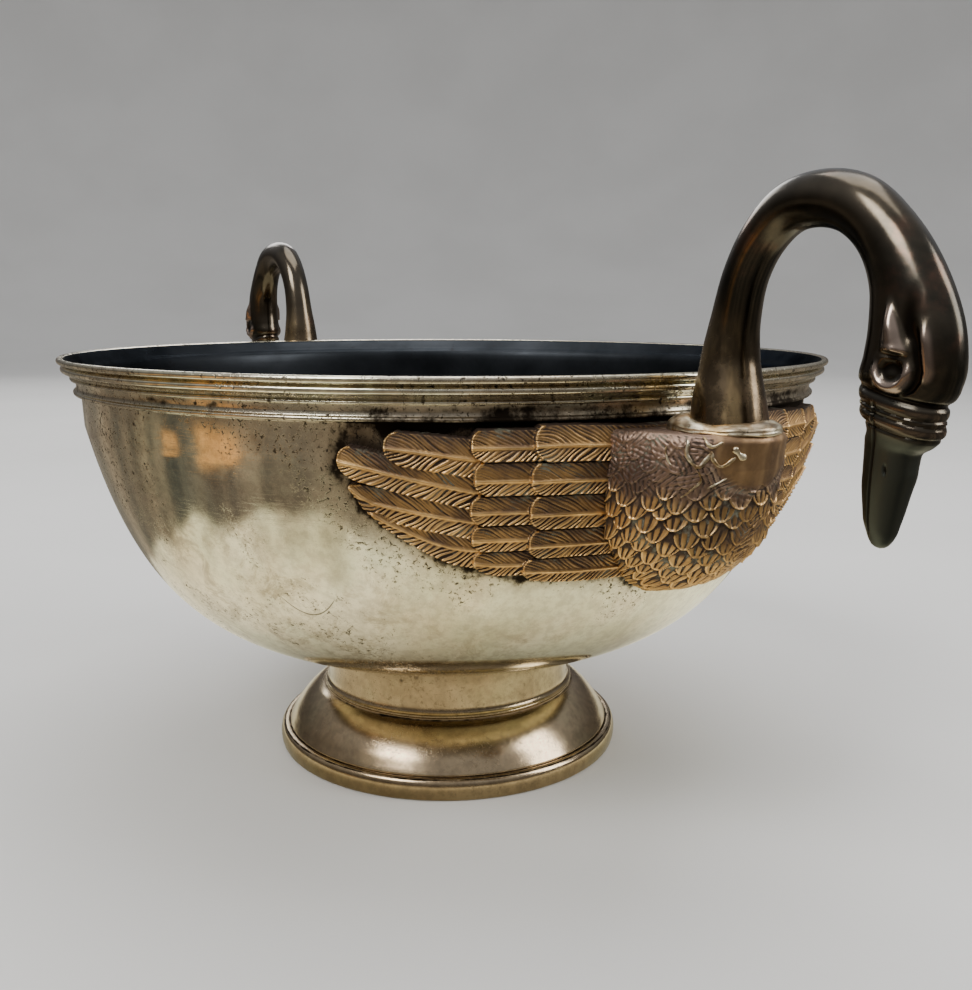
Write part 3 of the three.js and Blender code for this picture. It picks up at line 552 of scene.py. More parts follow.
def breast_profile(rows):
    """Rows of the breast from its top's middle over the shoulder, down, and in to the wall: how far it
    stands out, height, half width and roundness."""
    z = np.linspace(BREAST_BOTTOM, BODY_SEAT - 1.6, 200)
    reach, width = (np.interp(z, *spline(points, 12).T) for points in (BREAST_REACHES, BREAST_HALVES))
    turn = np.radians(np.linspace(0, 90, 14))[1:]
    shoulder = np.stack([reach[-1] - 1.7 + 1.7 * np.cos(turn), z[-1] + 1.6 * np.sin(turn),
                         width[-1] - 1.7 + 1.7 * np.cos(turn)], 1)
    shrink = np.linspace(1.0, 0.3, 20)[1:]
    top = np.stack([shoulder[-1, 0] * shrink, np.full(len(shrink), BODY_SEAT), shoulder[-1, 2] * shrink], 1)
    under = [(-0.9, 80.4, 1.6), (1.5, 80.05, 1.7), (3.6, 79.95, 1.8), (5.3, 80.0, 1.9)]
    line = np.vstack([under, np.stack([reach, z, width], 1), shoulder, top])[::-1]
    line = places_along(line, np.linspace(0, length_along(line)[-1], rows))
    rise = (line[:, 1] - BREAST_BOTTOM) / (BODY_SEAT - BREAST_BOTTOM)
    return np.column_stack([line, 0.62 + 1.1 * (rise - 0.42) ** 2])


def breast_surface():
    """Grid of points on the carved breast, with normals, recesses, crests and how far up each one is."""
    rows, columns = int(74 / GRID_STEP), int(78 / GRID_STEP)
    a = np.linspace(-math.pi / 2, math.pi / 2, columns)
    reach, z, width, power = (column[:, None] for column in breast_profile(rows).T)
    sides = np.minimum(BREAST_EDGE, reach)
    proud = sides + (reach - sides) * np.maximum(np.cos(a), 0.0) ** (2 * power)
    wall = wall_radius(np.minimum(z, BODY_TOP))
    azimuth = width * np.sin(a) / wall
    base = around_axis(wall + proud, azimuth, z)
    normal = unit(np.cross(np.gradient(base, axis=0), np.gradient(base, axis=1)))
    across = np.cumsum(np.linalg.norm(np.diff(base, axis=1, prepend=base[:, :1]), axis=2), 1)
    across = across - across[:, columns // 2:columns // 2 + 1]
    steep = np.sqrt(np.maximum(1 - normal[..., 2] ** 2, 0.08))
    down = np.cumsum(np.maximum(-np.diff(z, axis=0, prepend=z[:1]), 0.0) / steep, 0)
    relief, recess, crest = scales(across, down)
    strokes = chased(across, down)
    seam = smooth(np.cos(a), 0.02, 0.14)[None, :]
    from_neck = np.hypot(across * 0.9, down - 2.0)
    apron = smooth(12.5 - from_neck, 0.0, 2.5)
    upper = 1 - smooth(down + 1.5 * np.sin(across * 0.5), 13.0, 17.5)
    keel = bump(across, 3.0, 11.0) * smooth(down, 17.0, 24.0)
    carved = smooth(down, 0.5, 3.0) * (1 - apron) * seam
    plain = np.maximum(0.6 * upper, 0.75 * keel)
    engraved = np.maximum(upper, keel) * (1 - apron)
    lift = relief * carved * (1 - plain) + 0.24 * (strokes - 0.5) * engraved * seam + 0.45 * apron
    recess = (recess * (1 - plain) + 0.85 * (1 - strokes) * engraved) * (1 - apron) * smooth(down, 0.0, 1.0)
    # Soft stripes across the apron under the neck: painted highlights, with painted shade between them.
    sheen_bands = 0.5 + 0.5 * np.sin(across * 1.1 + 0.6 * np.sin(down * 0.4) + 0.8)
    crest = crest * carved * (1 - plain) + bump(from_neck, 12.6, 0.9) * smooth(down, 6, 9)
    crest = crest + 0.45 * sheen_bands ** 2 * apron + 0.25 * strokes * keel
    recess = recess + (0.12 + 0.24 * (1 - sheen_bands)) * apron
    upper = upper * (1 - 0.55 * apron)
    points = base + normal * lift[..., None]
    for column in (0, -1):
        points[:, column] = base[:, column] - around_axis(1.0, azimuth[:, column], 0.0) * (sides + 0.9)
    return points, normal, recess, crest, upper


def breast(name, surface):
    """The breast's shell: scales below, and a smoother, finely engraved part under the neck."""
    points, _, recess, crest, upper = surface
    faces = grid_faces(*points.shape[:2])[:, ::-1]
    made = make_mesh(name, points.reshape(-1, 3), faces, math.radians(75))
    for attribute, values in (("recess", recess), ("crest", crest), ("upper", upper)):
        set_attribute(made, attribute, np.clip(values, 0, 1).ravel())
    return made


def collar(name):
    """Sloping band of solder round the neck's foot, uneven as if poured, with a lump beside the bowl."""
    around, section = 220, 28
    turn, part = full_turn(around)[:, None], full_turn(section)[None, :]
    uneven = 0.5 * np.sin(2 * turn + 0.6) + 0.35 * np.sin(3 * turn + 1.9) + 0.12 * np.sin(7 * turn)
    lump = bump(np.mod(turn + 2 * math.pi, 2 * math.pi), math.radians(222), math.radians(38))
    middle = 10.5 + 0.3 * uneven + 0.5 * lump
    thick = 2.1 + 0.45 * uneven + 0.8 * lump
    flat_c, flat_s = superellipse(part, 2.2)
    radius = middle + thick * flat_c
    z = (124.7 + 0.3 * lump + (1.25 + 0.3 * uneven + 0.5 * lump) * flat_s
         - 0.3 * thick * flat_c + 0.2 * uneven)
    z = z + 0.08 * np.sin(turn * 9 + 2 * part) * (flat_c > 0)
    radius = radius - 0.25 * bump(flat_s, 0.15, 0.3) * (flat_c > 0)
    points = around_axis(radius, turn, z) + (NECK_X, 0.0, 0.0)
    return make_mesh(name, points, grid_faces(around, section, True, True))


# Runs of spilt solder on the breast: thickness in millimetres, then azimuths in degrees and heights
SOLDER_RUNS = (
    (0.46, ((-6.2, 122.4), (-6.35, 119.1), (-5.9, 117.0), (-5.4, 116.6), (-4.9, 118.6), (-4.67, 120.2))),
    (0.42, ((-4.9, 123.3), (-5.05, 122.0), (-4.6, 121.2), (-3.9, 122.4))),
    (0.4, ((-4.67, 120.3), (-4.5, 118.2), (-3.8, 116.6), (-2.8, 118.8))),
    (0.72, ((-3.1, 121.0), (-2.5, 119.4), (-1.85, 118.3))),
    (0.28, ((-5.9, 117.0), (-5.3, 114.4), (-5.25, 112.7), (-5.9, 110.4), (-6.4, 108.9))),
    (0.2, ((-4.64, 111.3), (-3.25, 113.9))),
    (0.26, ((-7.6, 120.7), (-7.62, 118.7), (-7.3, 116.4))),
)


def solder_runs(name, surface):
    """Thin raised beads of solder that follow the breast's surface."""
    points, normal = surface[0], surface[1]
    flat_points, flat_normal = points.reshape(-1, 3), normal.reshape(-1, 3)
    azimuth = np.degrees(np.arctan2(flat_points[:, 1], flat_points[:, 0]))
    sides = 12
    turn = full_turn(sides)
    vertices, faces = [], []
    for index, (thickness, places) in enumerate(SOLDER_RUNS):
        line = spline(places, 10)
        nearest = [int(np.argmin(((azimuth - a) * 2.5) ** 2 + (flat_points[:, 2] - h) ** 2))
                   for a, h in line]
        path, lift = flat_points[nearest], flat_normal[nearest]
        for _ in range(3):
            path[1:-1] = (path[:-2] + path[1:-1] + path[2:]) / 3
            lift[1:-1] = (lift[:-2] + lift[1:-1] + lift[2:]) / 3
        side = unit(np.cross(unit(np.gradient(path, axis=0)), lift))
        share = np.linspace(0, 1, len(path))
        ends = np.sqrt(np.clip(1 - (2 * share - 1) ** 6, 0.03, 1))
        size = thickness * (1 + 0.28 * np.sin(share * 11 + index * 2.1)) * ends
        ring = path[:, None] + 0.1 * lift[:, None] + size[:, None, None] * (
            np.cos(turn)[None, :, None] * side[:, None] + 0.7 * np.sin(turn)[None, :, None] * lift[:, None])
        faces += tube_faces(len(path), sides, sum(len(v) for v in vertices))
        vertices.append(ring.reshape(-1, 3))
    return make_mesh(name, np.vstack(vertices), faces, math.pi)


def screw_head(name, azimuth, height):
    """Domed, slotted screw head on the bowl's inner wall."""
    slope = float(np.arctan2(wall_radius(height + 1) - wall_radius(height - 1), 2.0))
    sides = 48
    rings = spline([(0.01, 2.0), (1.6, 1.8), (2.9, 1.25), (3.65, 0.55), (3.8, 0.1), (3.6, -0.2)], 5)
    points = around_axis(rings[:, :1], full_turn(sides), rings[:, 1:])
    points[..., 2] -= 0.7 * bump(points[..., 0], 0.0, 0.55) * smooth(rings[:, 1:], 0.2, 0.9)
    made = make_mesh(name, points, grid_faces(len(rings), sides, True), math.radians(35))
    middle = float(wall_radius(height)) - WALL - 0.05
    turned_in = Matrix.Rotation(math.radians(azimuth), 4, "Z")
    place = Matrix.Translation((middle * MM, 0, height * MM))
    facing = Matrix.Rotation(math.radians(-90) + slope, 4, "Y")
    made.data.transform(turned_in @ place @ facing)
    return made


class Value:
    """A node's output, which adds, subtracts and multiplies like a number."""

    def __init__(self, nodes, socket):
        self.nodes = nodes
        self.socket = socket

    def __add__(self, other):
        return self.nodes.math("ADD", self, other)

    def __sub__(self, other):
        return self.nodes.math("SUBTRACT", self, other)

    def __rsub__(self, other):
        return self.nodes.math("SUBTRACT", other, self)

    def __mul__(self, other):
        return self.nodes.math("MULTIPLY", self, other)

    def __abs__(self):
        return self.nodes.math("ABSOLUTE", self, 0.0)


class Nodes:
    """Node tree of a material or a world, with short calls for the nodes that these looks use."""

    def __init__(self, name, kind="materials", coordinates="Object"):
        self.owner = getattr(bpy.data, kind).new(name)
        self.owner.use_nodes = True
        self.tree = self.owner.node_tree
        self.tree.nodes.clear()
        self.where = self.value("TexCoord", coordinates, {})

    def add(self, kind, inputs, **settings):
        """A new node; each input is a number, a colour or another node's value."""
        node = self.tree.nodes.new("ShaderNode" + kind)
        for name, setting in settings.items():
            setattr(node, name, setting)
        for name, value in inputs.items():
            socket = node.inputs[name]
            if isinstance(value, Value):
                self.tree.links.new(value.socket, socket)
            else:
                socket.default_value = (*value, 1.0) if socket.type == "RGBA" else value
        return node

    def value(self, kind, output, inputs, **settings):
        """One output of a new node."""
        return Value(self, self.add(kind, inputs, **settings).outputs[output])

    def math(self, operation, first, second):
        return self.value("Math", 0, {0: first, 1: second}, operation=operation)

    def highest(self, *values):
        return reduce(lambda first, second: self.math("MAXIMUM", first, second), values)

    def axis(self, name):
        """The X, Y or Z coordinate."""
        return self.value("SeparateXYZ", name, {0: self.where})

    def stretched(self, scale):
        """Coordinates scaled by an (x, y, z) factor."""
        return self.value("Mapping", "Vector", {"Vector": self.where, "Scale": scale})

    def noise(self, scale, detail=6.0, rough=0.55, warp=0.0, vector=None):
        inputs = {"Vector": vector or self.where, "Scale": scale, "Detail": detail, "Roughness": rough}
        return self.value("TexNoise", "Fac", {**inputs, "Distortion": warp})

    def cells(self, scale):
        return self.value("TexVoronoi", "Distance", {"Vector": self.where, "Scale": scale})

    def attribute(self, name):
        return self.value("Attribute", "Fac", {}, attribute_name=name)

    def ramp(self, value, low, high, to_low=0.0, to_high=1.0):
        """A value mapped smoothly from one range to another, and clamped."""
        inputs = {"Value": value, "From Min": low, "From Max": high, "To Min": to_low, "To Max": to_high}
        return self.value("MapRange", "Result", inputs, interpolation_type="SMOOTHSTEP")

    def mix(self, share, first, second, blend="MIX"):
        inputs = {"Factor": share, "A": first, "B": second}
        return self.value("Mix", "Result", inputs, data_type="RGBA", blend_type=blend)

    def bump(self, height, strength, distance, below=None):
        """A surface raised by a height, on top of another bump if one is given."""
        inputs = {"Strength": strength, "Distance": distance, "Height": height}
        if below is not None:
            inputs["Normal"] = below
        return self.value("Bump", "Normal", inputs)

    def shade(self, kind, inputs, output="OutputMaterial"):
        """Ends the tree with a shader, and returns the material or world."""
        self.add(output, {"Surface": self.value(kind, 0, inputs)})
        return self.owner

    def finish(self, color, roughness, normal, metallic=1.0, specular=(1.0, 1.0, 1.0)):
        """Ends the tree with a solid surface."""
        inputs = {"Base Color": color, "Roughness": roughness, "Metallic": metallic, "Normal": normal}
        return self.shade("BsdfPrincipled", {**inputs, "Specular Tint": specular})


def hair_scratch(n):
    """A long, curved, dark scratch low on the front of the wall, in metres."""
    across = (n.math("ARCTAN2", n.axis("Y"), n.axis("X")) + 0.8853) * 0.103
    rise = across * (across * 85.0 - 0.25) + 0.0717
    gap = abs(n.axis("Z") - rise)
    return n.ramp(gap, 0.00008, 0.00032, 0.75, 0.0) * n.ramp(abs(across - 0.0018), 0.0068, 0.0084, 1.0, 0.0)


def worn_silver(name, bright, warm, dark, polish=0.085, pits=0.9):
    """Silver plate, cloudily tarnished, with black pits and fine scratches, browned and blackened by
    deposits and by painted shade in the grooves, under the rim and round the swans.
    """
    n = Nodes(name)
    deposit_and_shade = n.attribute("tarnish_and_shade")
    tint = n.mix(n.ramp(n.noise(9.0, 8.0, 0.62, 0.6), 0.4, 0.66), bright, warm)
    streaks = n.noise(60.0, 5.0, 0.6, 0.2, n.stretched((1.0, 1.0, 0.35)))
    tint = n.mix(n.ramp(streaks, 0.5, 0.75, 0.0, 0.3), tint, dark)
    hues = n.mix(n.ramp(n.noise(26.0, 6.0, 0.65), 0.4, 0.6), (0.93, 0.96, 0.84), (1.0, 0.93, 0.83))
    tint = n.mix(0.8, tint, n.mix(1.0, tint, hues, "MULTIPLY"))
    stained = n.ramp(n.noise(13.0, 4.0, 0.6), 0.4, 0.6, 0.15, pits)
    stain = n.ramp(n.noise(75.0, 12.0, 0.82, 0.6), 0.48, 0.6) * stained
    tint = n.mix(stain * 0.7, tint, (0.3, 0.235, 0.145))
    tint = n.mix(n.ramp(n.noise(330.0, 8.0, 0.7), 0.4, 0.62, 0.0, 0.3), tint, dark)
    # The vertex numbers hold deposits and painted shade: brown haze first, then black where they are high.
    haze = n.ramp(deposit_and_shade + n.noise(40.0, 6.0, 0.6) * 0.5, 0.3, 1.0, 0.0, 0.8)
    brown = n.mix(n.ramp(n.noise(90.0, 6.0, 0.6), 0.4, 0.65), (0.16, 0.115, 0.075), (0.3, 0.22, 0.14))
    tint = n.mix(haze, tint, brown)
    patches = n.ramp(n.noise(27.0, 8.0, 0.7, 0.4) + deposit_and_shade * 0.4, 0.51, 0.585)
    specks = n.ramp(n.noise(820.0, 5.0, 0.74, 0.5), 0.55, 0.61) * (patches * pits)
    spots = n.ramp(n.cells(190.0), 0.06, 0.17, pits, 0.0) * n.ramp(n.noise(31.0, 4.0, 0.6), 0.6, 0.66)
    blackened = n.ramp(deposit_and_shade + n.noise(120.0, 9.0, 0.72) * 1.6, 1.24, 1.54)
    grime_and_shade = n.highest(specks, spots, blackened, hair_scratch(n))
    color = n.mix(grime_and_shade, tint, (0.026, 0.019, 0.013))
    rough = n.ramp(n.noise(16.0, 8.0, 0.65), 0.3, 0.75, polish, polish + 0.1)
    rough = rough + grime_and_shade * 0.4 + haze * 0.25
    wavy = n.noise(24.0, 3.0, 0.5, 2.2, n.stretched((1.0, 1.0, 26.0)))
    scratch = n.ramp(wavy, 0.485, 0.5) * n.ramp(wavy, 0.5, 0.515, 1.0, 0.0)
    dents = n.bump(n.noise(11.0, 2.0, 0.5), 0.4, 0.0018)
    pitted = n.bump(1.0 - grime_and_shade, 0.2, 0.0001, dents)
    fine = scratch * -0.5 + n.noise(2600.0, 2.0, 0.5)
    return n.finish(color, rough, n.bump(fine, 0.12, 0.00003, pitted))


def inner_silver(name):
    """The bowl's inside: heavily darkened plate, painted near black with dulled reflections as painted shade
    for the hollow, with cloudy blue-grey tarnishing.
    """
    n = Nodes(name)
    clouds = n.ramp(n.noise(14.0, 8.0, 0.65, 0.5), 0.38, 0.68)
    # Near-black colours: painted shade inside the hollow.
    tint = n.mix(clouds, (0.034, 0.037, 0.041), (0.017, 0.019, 0.021))
    spots = n.ramp(n.noise(240.0, 6.0, 0.7), 0.58, 0.7)
    color = n.mix(spots * 0.6, tint, (0.02, 0.018, 0.018))
    rough = n.ramp(n.noise(30.0, 6.0, 0.6), 0.3, 0.7, 0.36, 0.55)
    normal = n.bump(n.noise(420.0, 4.0, 0.6), 0.15, 0.0001)
    # The dim reflection tint is painted shade as well.
    return n.finish(color, rough, normal, specular=(0.16, 0.17, 0.19))


def golden_bronze(name):
    """Cast and chased bronze: golden on the crests, rubbed and with painted highlights, brown between,
    nearly black in the recesses, soiled and with painted shade.
    """
    n = Nodes(name)
    recess, crest, upper = n.attribute("recess"), n.attribute("crest"), n.attribute("upper")
    patina = n.ramp(n.noise(75.0, 7.0, 0.62, 0.4), 0.36, 0.68)
    brown = n.mix(patina, (0.54, 0.33, 0.135), (0.2, 0.125, 0.08))
    gold = n.mix(n.ramp(n.noise(260.0, 5.0, 0.6), 0.35, 0.7), (1.0, 0.67, 0.29), (0.8, 0.48, 0.18))
    # Gold on the crests: wear, and painted highlights on scale rims, lower scale halves and the apron's
    # stripes.
    wear_and_sheen = n.ramp(crest + n.noise(110.0, 6.0, 0.65) * 0.7, 0.5, 1.15)
    color = n.mix(wear_and_sheen, brown, gold)
    color = n.mix(n.ramp(n.noise(24.0, 5.0, 0.6), 0.45, 0.62, 0.0, 0.5), color, (0.3, 0.19, 0.09))
    plum = n.mix(patina, (0.27, 0.19, 0.155), (0.13, 0.092, 0.08))
    plum = n.mix(wear_and_sheen * 0.7, plum, (0.52, 0.4, 0.33))
    color = n.mix(upper * 0.85, color, plum)
    # Near black in the recesses: soiling, and painted shade under feathers and scales.
    dirt_and_shade = n.ramp(recess + n.noise(480.0, 5.0, 0.65) * 0.6, 0.55, 1.1)
    color = n.mix(dirt_and_shade, color, (0.046, 0.027, 0.017))
    dust = n.ramp(recess, 0.35, 0.8) * n.ramp(n.noise(120.0, 9.0, 0.74), 0.52, 0.64)
    color = n.mix(dust * 0.6, color, (0.3, 0.31, 0.22))
    rough = n.ramp(dirt_and_shade - wear_and_sheen * 0.2, 0.0, 1.0, 0.46, 0.66)
    rough = rough + n.ramp(n.noise(300.0, 4.0, 0.6), 0.4, 0.7, 0.0, 0.14)
    pores = n.bump(n.noise(1500.0, 5.0, 0.65), 0.35, 0.0001)
    normal = n.bump(n.noise(320.0, 5.0, 0.6), 0.35, 0.0003, pores)
    return n.finish(color, rough, normal, n.ramp(n.highest(dirt_and_shade, dust), 0.0, 1.0, 1.0, 0.5))


def dark_bronze(name):
    """Dark patinated bronze, polished by hands, with golden wear at the neck's foot and a dull beak."""
    n = Nodes(name)
    low, beak = n.attribute("foot"), n.attribute("beak")
    clouds = n.ramp(n.noise(38.0, 7.0, 0.6, 0.5), 0.36, 0.7)
    base = n.mix(clouds, (0.095, 0.078, 0.056), (0.034, 0.032, 0.026))
    base = n.mix(low * 0.4, base, (0.29, 0.2, 0.11))
    streak = n.ramp(n.noise(90.0, 4.0, 0.55, 0.0, n.stretched((1.0, 1.0, 0.25))), 0.5, 0.66)
    color = n.mix(streak * (low * 0.6), base, (0.8, 0.58, 0.29))
    blush = n.ramp(n.noise(75.0, 5.0, 0.6), 0.54, 0.72, 0.0, 0.55)
    color = n.mix(blush, color, (0.17, 0.092, 0.062))
    # Painted highlights on the raised relief: brow, eyelid, cheek ridge and the beak's rings.
    color = n.mix(n.ramp(n.attribute("crest"), 0.15, 0.8, 0.0, 0.65), color, (0.46, 0.35, 0.28))
    color = n.mix(beak * 0.9, color, (0.07, 0.078, 0.066))
    # Painted shade: the hollows, eye socket, creases, grooves and under the brow, go nearly black.
    color = n.mix(n.ramp(n.attribute("recess"), 0.0, 0.7, 0.0, 0.9), color, (0.014, 0.011, 0.008))
    rough = n.ramp(n.noise(55.0, 7.0, 0.62), 0.3, 0.75, 0.15, 0.28) + beak * 0.22
    rough = rough + low * n.ramp(n.noise(150.0, 6.0, 0.7), 0.42, 0.6, 0.0, 0.16)
    fine = n.bump(n.noise(700.0, 5.0, 0.6), 0.16, 0.0001)
    normal = n.bump(n.noise(60.0, 3.0, 0.5), 0.25, 0.0006, fine)
    return n.finish(color, rough, normal)


def solder(name):
    """Dull pale solder with brassy and dark stains."""
    n = Nodes(name)
    stains = n.ramp(n.noise(170.0, 7.0, 0.65, 0.6), 0.42, 0.62)
    color = n.mix(stains, (0.8, 0.72, 0.53), (0.4, 0.27, 0.12))
    drawn = n.ramp(n.noise(300.0, 5.0, 0.6, 0.4, n.stretched((0.3, 0.3, 1.6))), 0.47, 0.6, 0.0, 0.75)
    color = n.mix(drawn, color, (0.2, 0.13, 0.07))
    color = n.mix(n.ramp(n.noise(420.0, 5.0, 0.6), 0.6, 0.7), color, (0.07, 0.058, 0.045))
    normal = n.bump(n.noise(380.0, 6.0, 0.65), 0.4, 0.0003)
    return n.finish(color, n.ramp(n.noise(260.0, 4.0, 0.6), 0.3, 0.7, 0.3, 0.52), normal)


def turned_brass(name):
    """Turned brass with fine tool marks and dull spots."""
    n = Nodes(name)
    rings = n.noise(900.0, 3.0, 0.5, 0.0, n.stretched((0.2, 0.2, 3.0)))
    spots = n.ramp(n.noise(160.0, 7.0, 0.65), 0.52, 0.7)
    color = n.mix(spots, (0.66, 0.5, 0.24), (0.3, 0.21, 0.1))
    return n.finish(color, n.ramp(rings, 0.3, 0.7, 0.24, 0.42), n.bump(rings, 0.2, 0.00006))


def plain_floor(name):
    """Pale, slightly uneven studio floor."""
    n = Nodes(name)
    color = n.mix(n.ramp(n.noise(3.0, 6.0, 0.5), 0.3, 0.7), (0.64, 0.63, 0.61), (0.6, 0.59, 0.57))
    return n.finish(color, 0.85, n.bump(n.noise(300.0, 3.0, 0.5), 0.05, 0.0004), 0.0)


def places(made):
    """The x, y and z of an object's vertices, in millimetres."""
    values = np.empty(len(made.data.vertices) * 3)
    made.data.vertices.foreach_get("co", values)
    return values.reshape(-1, 3).T / MM


def distance_to_wings(s, z):
    """Distance of places on the wall from a swan's body; s is how far round from the handle's plane."""
    low = [(0, 80.2), (2, 80.3), (5, 81.0), (9, 82.8), *((arc_length(a), h) for a, h in WING_EDGE[2:])]
    side = [(arc_length(41.8), 116.5), (arc_length(38.5), 119.0), (arc_length(36.2), 120.5),
            (arc_length(35.6), 124.0), (0.0, 124.0)]
    outline = np.array(low + side)
    near = np.full(s.shape, 1e3)
    for edge_s, edge_z in places_along(outline, np.arange(0, length_along(outline)[-1], 1.0)):
        near = np.minimum(near, np.hypot(s - edge_s, z - edge_z))
    return near


def tarnish_and_shade_bowl(made):
    """Dark deposits round the swans, on the mouldings and in the grooves, mixed with painted shade under the
    rim, in the grooves and close round the swans, as a number at each vertex.
    """
    x, y, z = places(made)
    radius, azimuth = np.hypot(x, y), np.abs(np.arctan2(y, x))
    s = np.minimum(azimuth, math.pi - azimuth) * ARC_RADIUS
    away = distance_to_wings(s, z)
    over_swans = 1 - smooth(s, 58.0, 98.0)
    # Round the swans: tarnishing, darkest close to their edges, where it is painted shade as well.
    swans = 0.5 * np.exp(-away / 2.2) + 0.36 * np.exp(-away / 8.0)
    swans = swans + 0.2 * np.exp(-away / 4.0) * smooth(s, 66.0, 82.0)
    swans = swans * (z < LEDGE) * (1 - 0.62 * bump(s, 81.0, 5.5) * bump(z, 122.0, 3.2))
    # The strip between the wings and the ledge: tarnishing and painted shade.
    above_swans = 0.3 * np.exp(-away / 5.0) * (z > 121.0) * (z < LEDGE) * (1 - smooth(s, 74.0, 78.0))
    # Just under the overhanging rim: painted shade with tarnishing.
    tarnish_and_shade_under_rim = 0.3 * np.exp(-np.maximum(LEDGE - z, 0) / 1.5) * (z < LEDGE + 0.2)
    mouldings = 0.17 + 0.1 * over_swans + 0.1 * smooth(z, 134.2, 135.0)
    mouldings = mouldings * smooth(z, LEDGE - 0.6, LEDGE + 0.4)
    # The rim's grooves: deposits and painted shade.
    grooves = (0.25 + 0.06 * over_swans) * bump(z, 128.0, 2.2) + 0.3 * bump(z, 131.2, 0.8)
    ledge = (0.16 + 0.24 * over_swans) * bump(z, 125.6, 2.0)
    foot_joint = 0.75 * bump(radius, 44.0, 3.2) * (z < 42)
    deposit_and_shade = swans + tarnish_and_shade_under_rim + above_swans + mouldings + ledge + grooves + foot_joint
    outside = radius > wall_radius(z) - 0.6
    set_attribute(made, "tarnish_and_shade", np.where(outside, np.minimum(deposit_and_shade, 1.0), 0.0))


def tarnish_and_shade_foot(made):
    """Dark lines in the foot's grooves, painted shade with tarnishing, and dark streaks round its neck that
    are painted reflections.
    """
    x, y, z = places(made)
    azimuth = np.arctan2(y, x)
    lines = 0.75 * bump(z, 6.8, 0.45) + 0.6 * bump(z, 20.5, 0.8) + 0.5 * bump(z, 36.3, 1.6)
    # Dark streaks round the neck: painted reflections of dark things near the foot.
    streaks = 0.22 + 0.1 * np.sin(5 * azimuth + 1.3 * np.sin(3 * azimuth))
    lines = lines + streaks * smooth(z, 21.0, 23.0)
    set_attribute(made, "tarnish_and_shade", np.where(np.hypot(x, y) > FOOT_NECK_RADIUS - 0.3, lines, 0.15))


def is_inside(face):
    """Whether a face of the bowl is on its darkened inside."""
    x, y, z = face.center / MM
    radius = math.hypot(x, y)
    on_wall = radius < float(wall_radius(z)) - 0.8 and z < RIM_HEIGHT - 0.9
    on_lip = z > 118 and radius < 122.9 and face.normal.x * x + face.normal.y * y < 0
    return on_wall or on_lip


def dress(made, material, node, slot):
    """Gives a piece its finish and its place in the frame."""
    made.data.materials.append(material)
    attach(made, "root")
    if node:
        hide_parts(node)


def half_turn(made):
    """A copy of a right-hand piece on the other side of the bowl."""
    other = bpy.data.objects.new(made.name.replace("right", "left"), made.data.copy())
    other.data.transform(Matrix.Rotation(math.pi, 4, "Z"))
    bpy.context.scene.collection.objects.link(other)
    return other


silver = worn_silver("worn_silver", (0.87, 0.84, 0.71), (0.76, 0.69, 0.52), (0.24, 0.2, 0.16))
dark_inside = inner_silver("inside_shade_and_tarnish")
# The foot: the same silver painted darker and warmer, as painted shade under the bowl and a painted
# reflection of darker ground.
foot_plate = worn_silver("foot_plate", (0.46, 0.37, 0.25), (0.36, 0.27, 0.165), (0.14, 0.105, 0.07),
                         polish=0.13, pits=0.2)
bronze_body = golden_bronze("golden_bronze")
bronze_neck = dark_bronze("dark_bronze")
solder_look = solder("solder")
brass_look = turned_brass("turned_brass")

bowl_piece = bowl()
tarnish_and_shade_bowl(bowl_piece)
dress(bowl_piece, silver, "bowl_shell", "bowl_plate")
bowl_piece.data.materials.append(dark_inside)
for face in bowl_piece.data.polygons:
    face.material_index = int(is_inside(face))

foot_piece = foot()
tarnish_and_shade_foot(foot_piece)
dress(foot_piece, foot_plate, "foot_shell", "foot_plate")

for node in ("foot_stud", "foot_washer", "foot_nut"):
    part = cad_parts[node]
    part.data.materials.clear()
    part.data.materials.append(brass_look)

carved_breast = breast_surface()
dress(solder_runs("right_solder_runs", carved_breast), solder_look, None, "solder")
swan = [
    (swan_neck("right_neck_and_head"), bronze_neck, "right_swan_neck", "neck_bronze"),
    (collar("right_solder_collar"), solder_look, "right_neck_collar", "solder"),
    (breast("right_breast", carved_breast), bronze_body, "right_swan_body", "wing_bronze"),
    (wing("right_front_wing", -1), bronze_body, None, "wing_bronze"),
    (wing("right_back_wing", 1), bronze_body, None, "wing_bronze"),
]
far_swan = [(half_turn(made), material, node and node.replace("right", "left"), slot)
            for made, material, node, slot in swan]
for piece in swan + far_swan:
    dress(*piece)

SCREWS = (("breast_screw", 0.0, 104.0), ("front_wing_screw", -23.0, 105.0), ("back_wing_screw", 23.0, 105.0))
for side, turn in (("right", 0.0), ("left", 180.0)):
    for kind, azimuth, height in SCREWS:
        head = screw_head(f"{side}_{kind}_head", azimuth + turn, height)
        dress(head, brass_look, f"{side}_{kind}", "fixings")


def staged(made, material):
    """A piece of the studio, which is no part of the object."""
    made.data.materials.append(material)
    return made


def floor_profile():
    """Profile of the floor in millimetres: flat, then curved up into a wall far outside the object."""
    bend = arc((2200.0, 1600.0), 1600.0, -90, 0, 23)[1:]
    flat = [(r, 0.0) for r in np.linspace(100.0, 2200.0, 22)]
    return np.vstack([[(0.5, 0.0)], flat, bend, [(3800.0, 3200.0)]])


# Warm patches painted glowing onto the reflection card, as reflections in the polished wall: direction,
# narrowness, nearest distance, strength
WARM_PATCHES = ((-90.0, 0.99, 0.29, 1.0), (-108.0, 0.998, 0.35, 0.8))


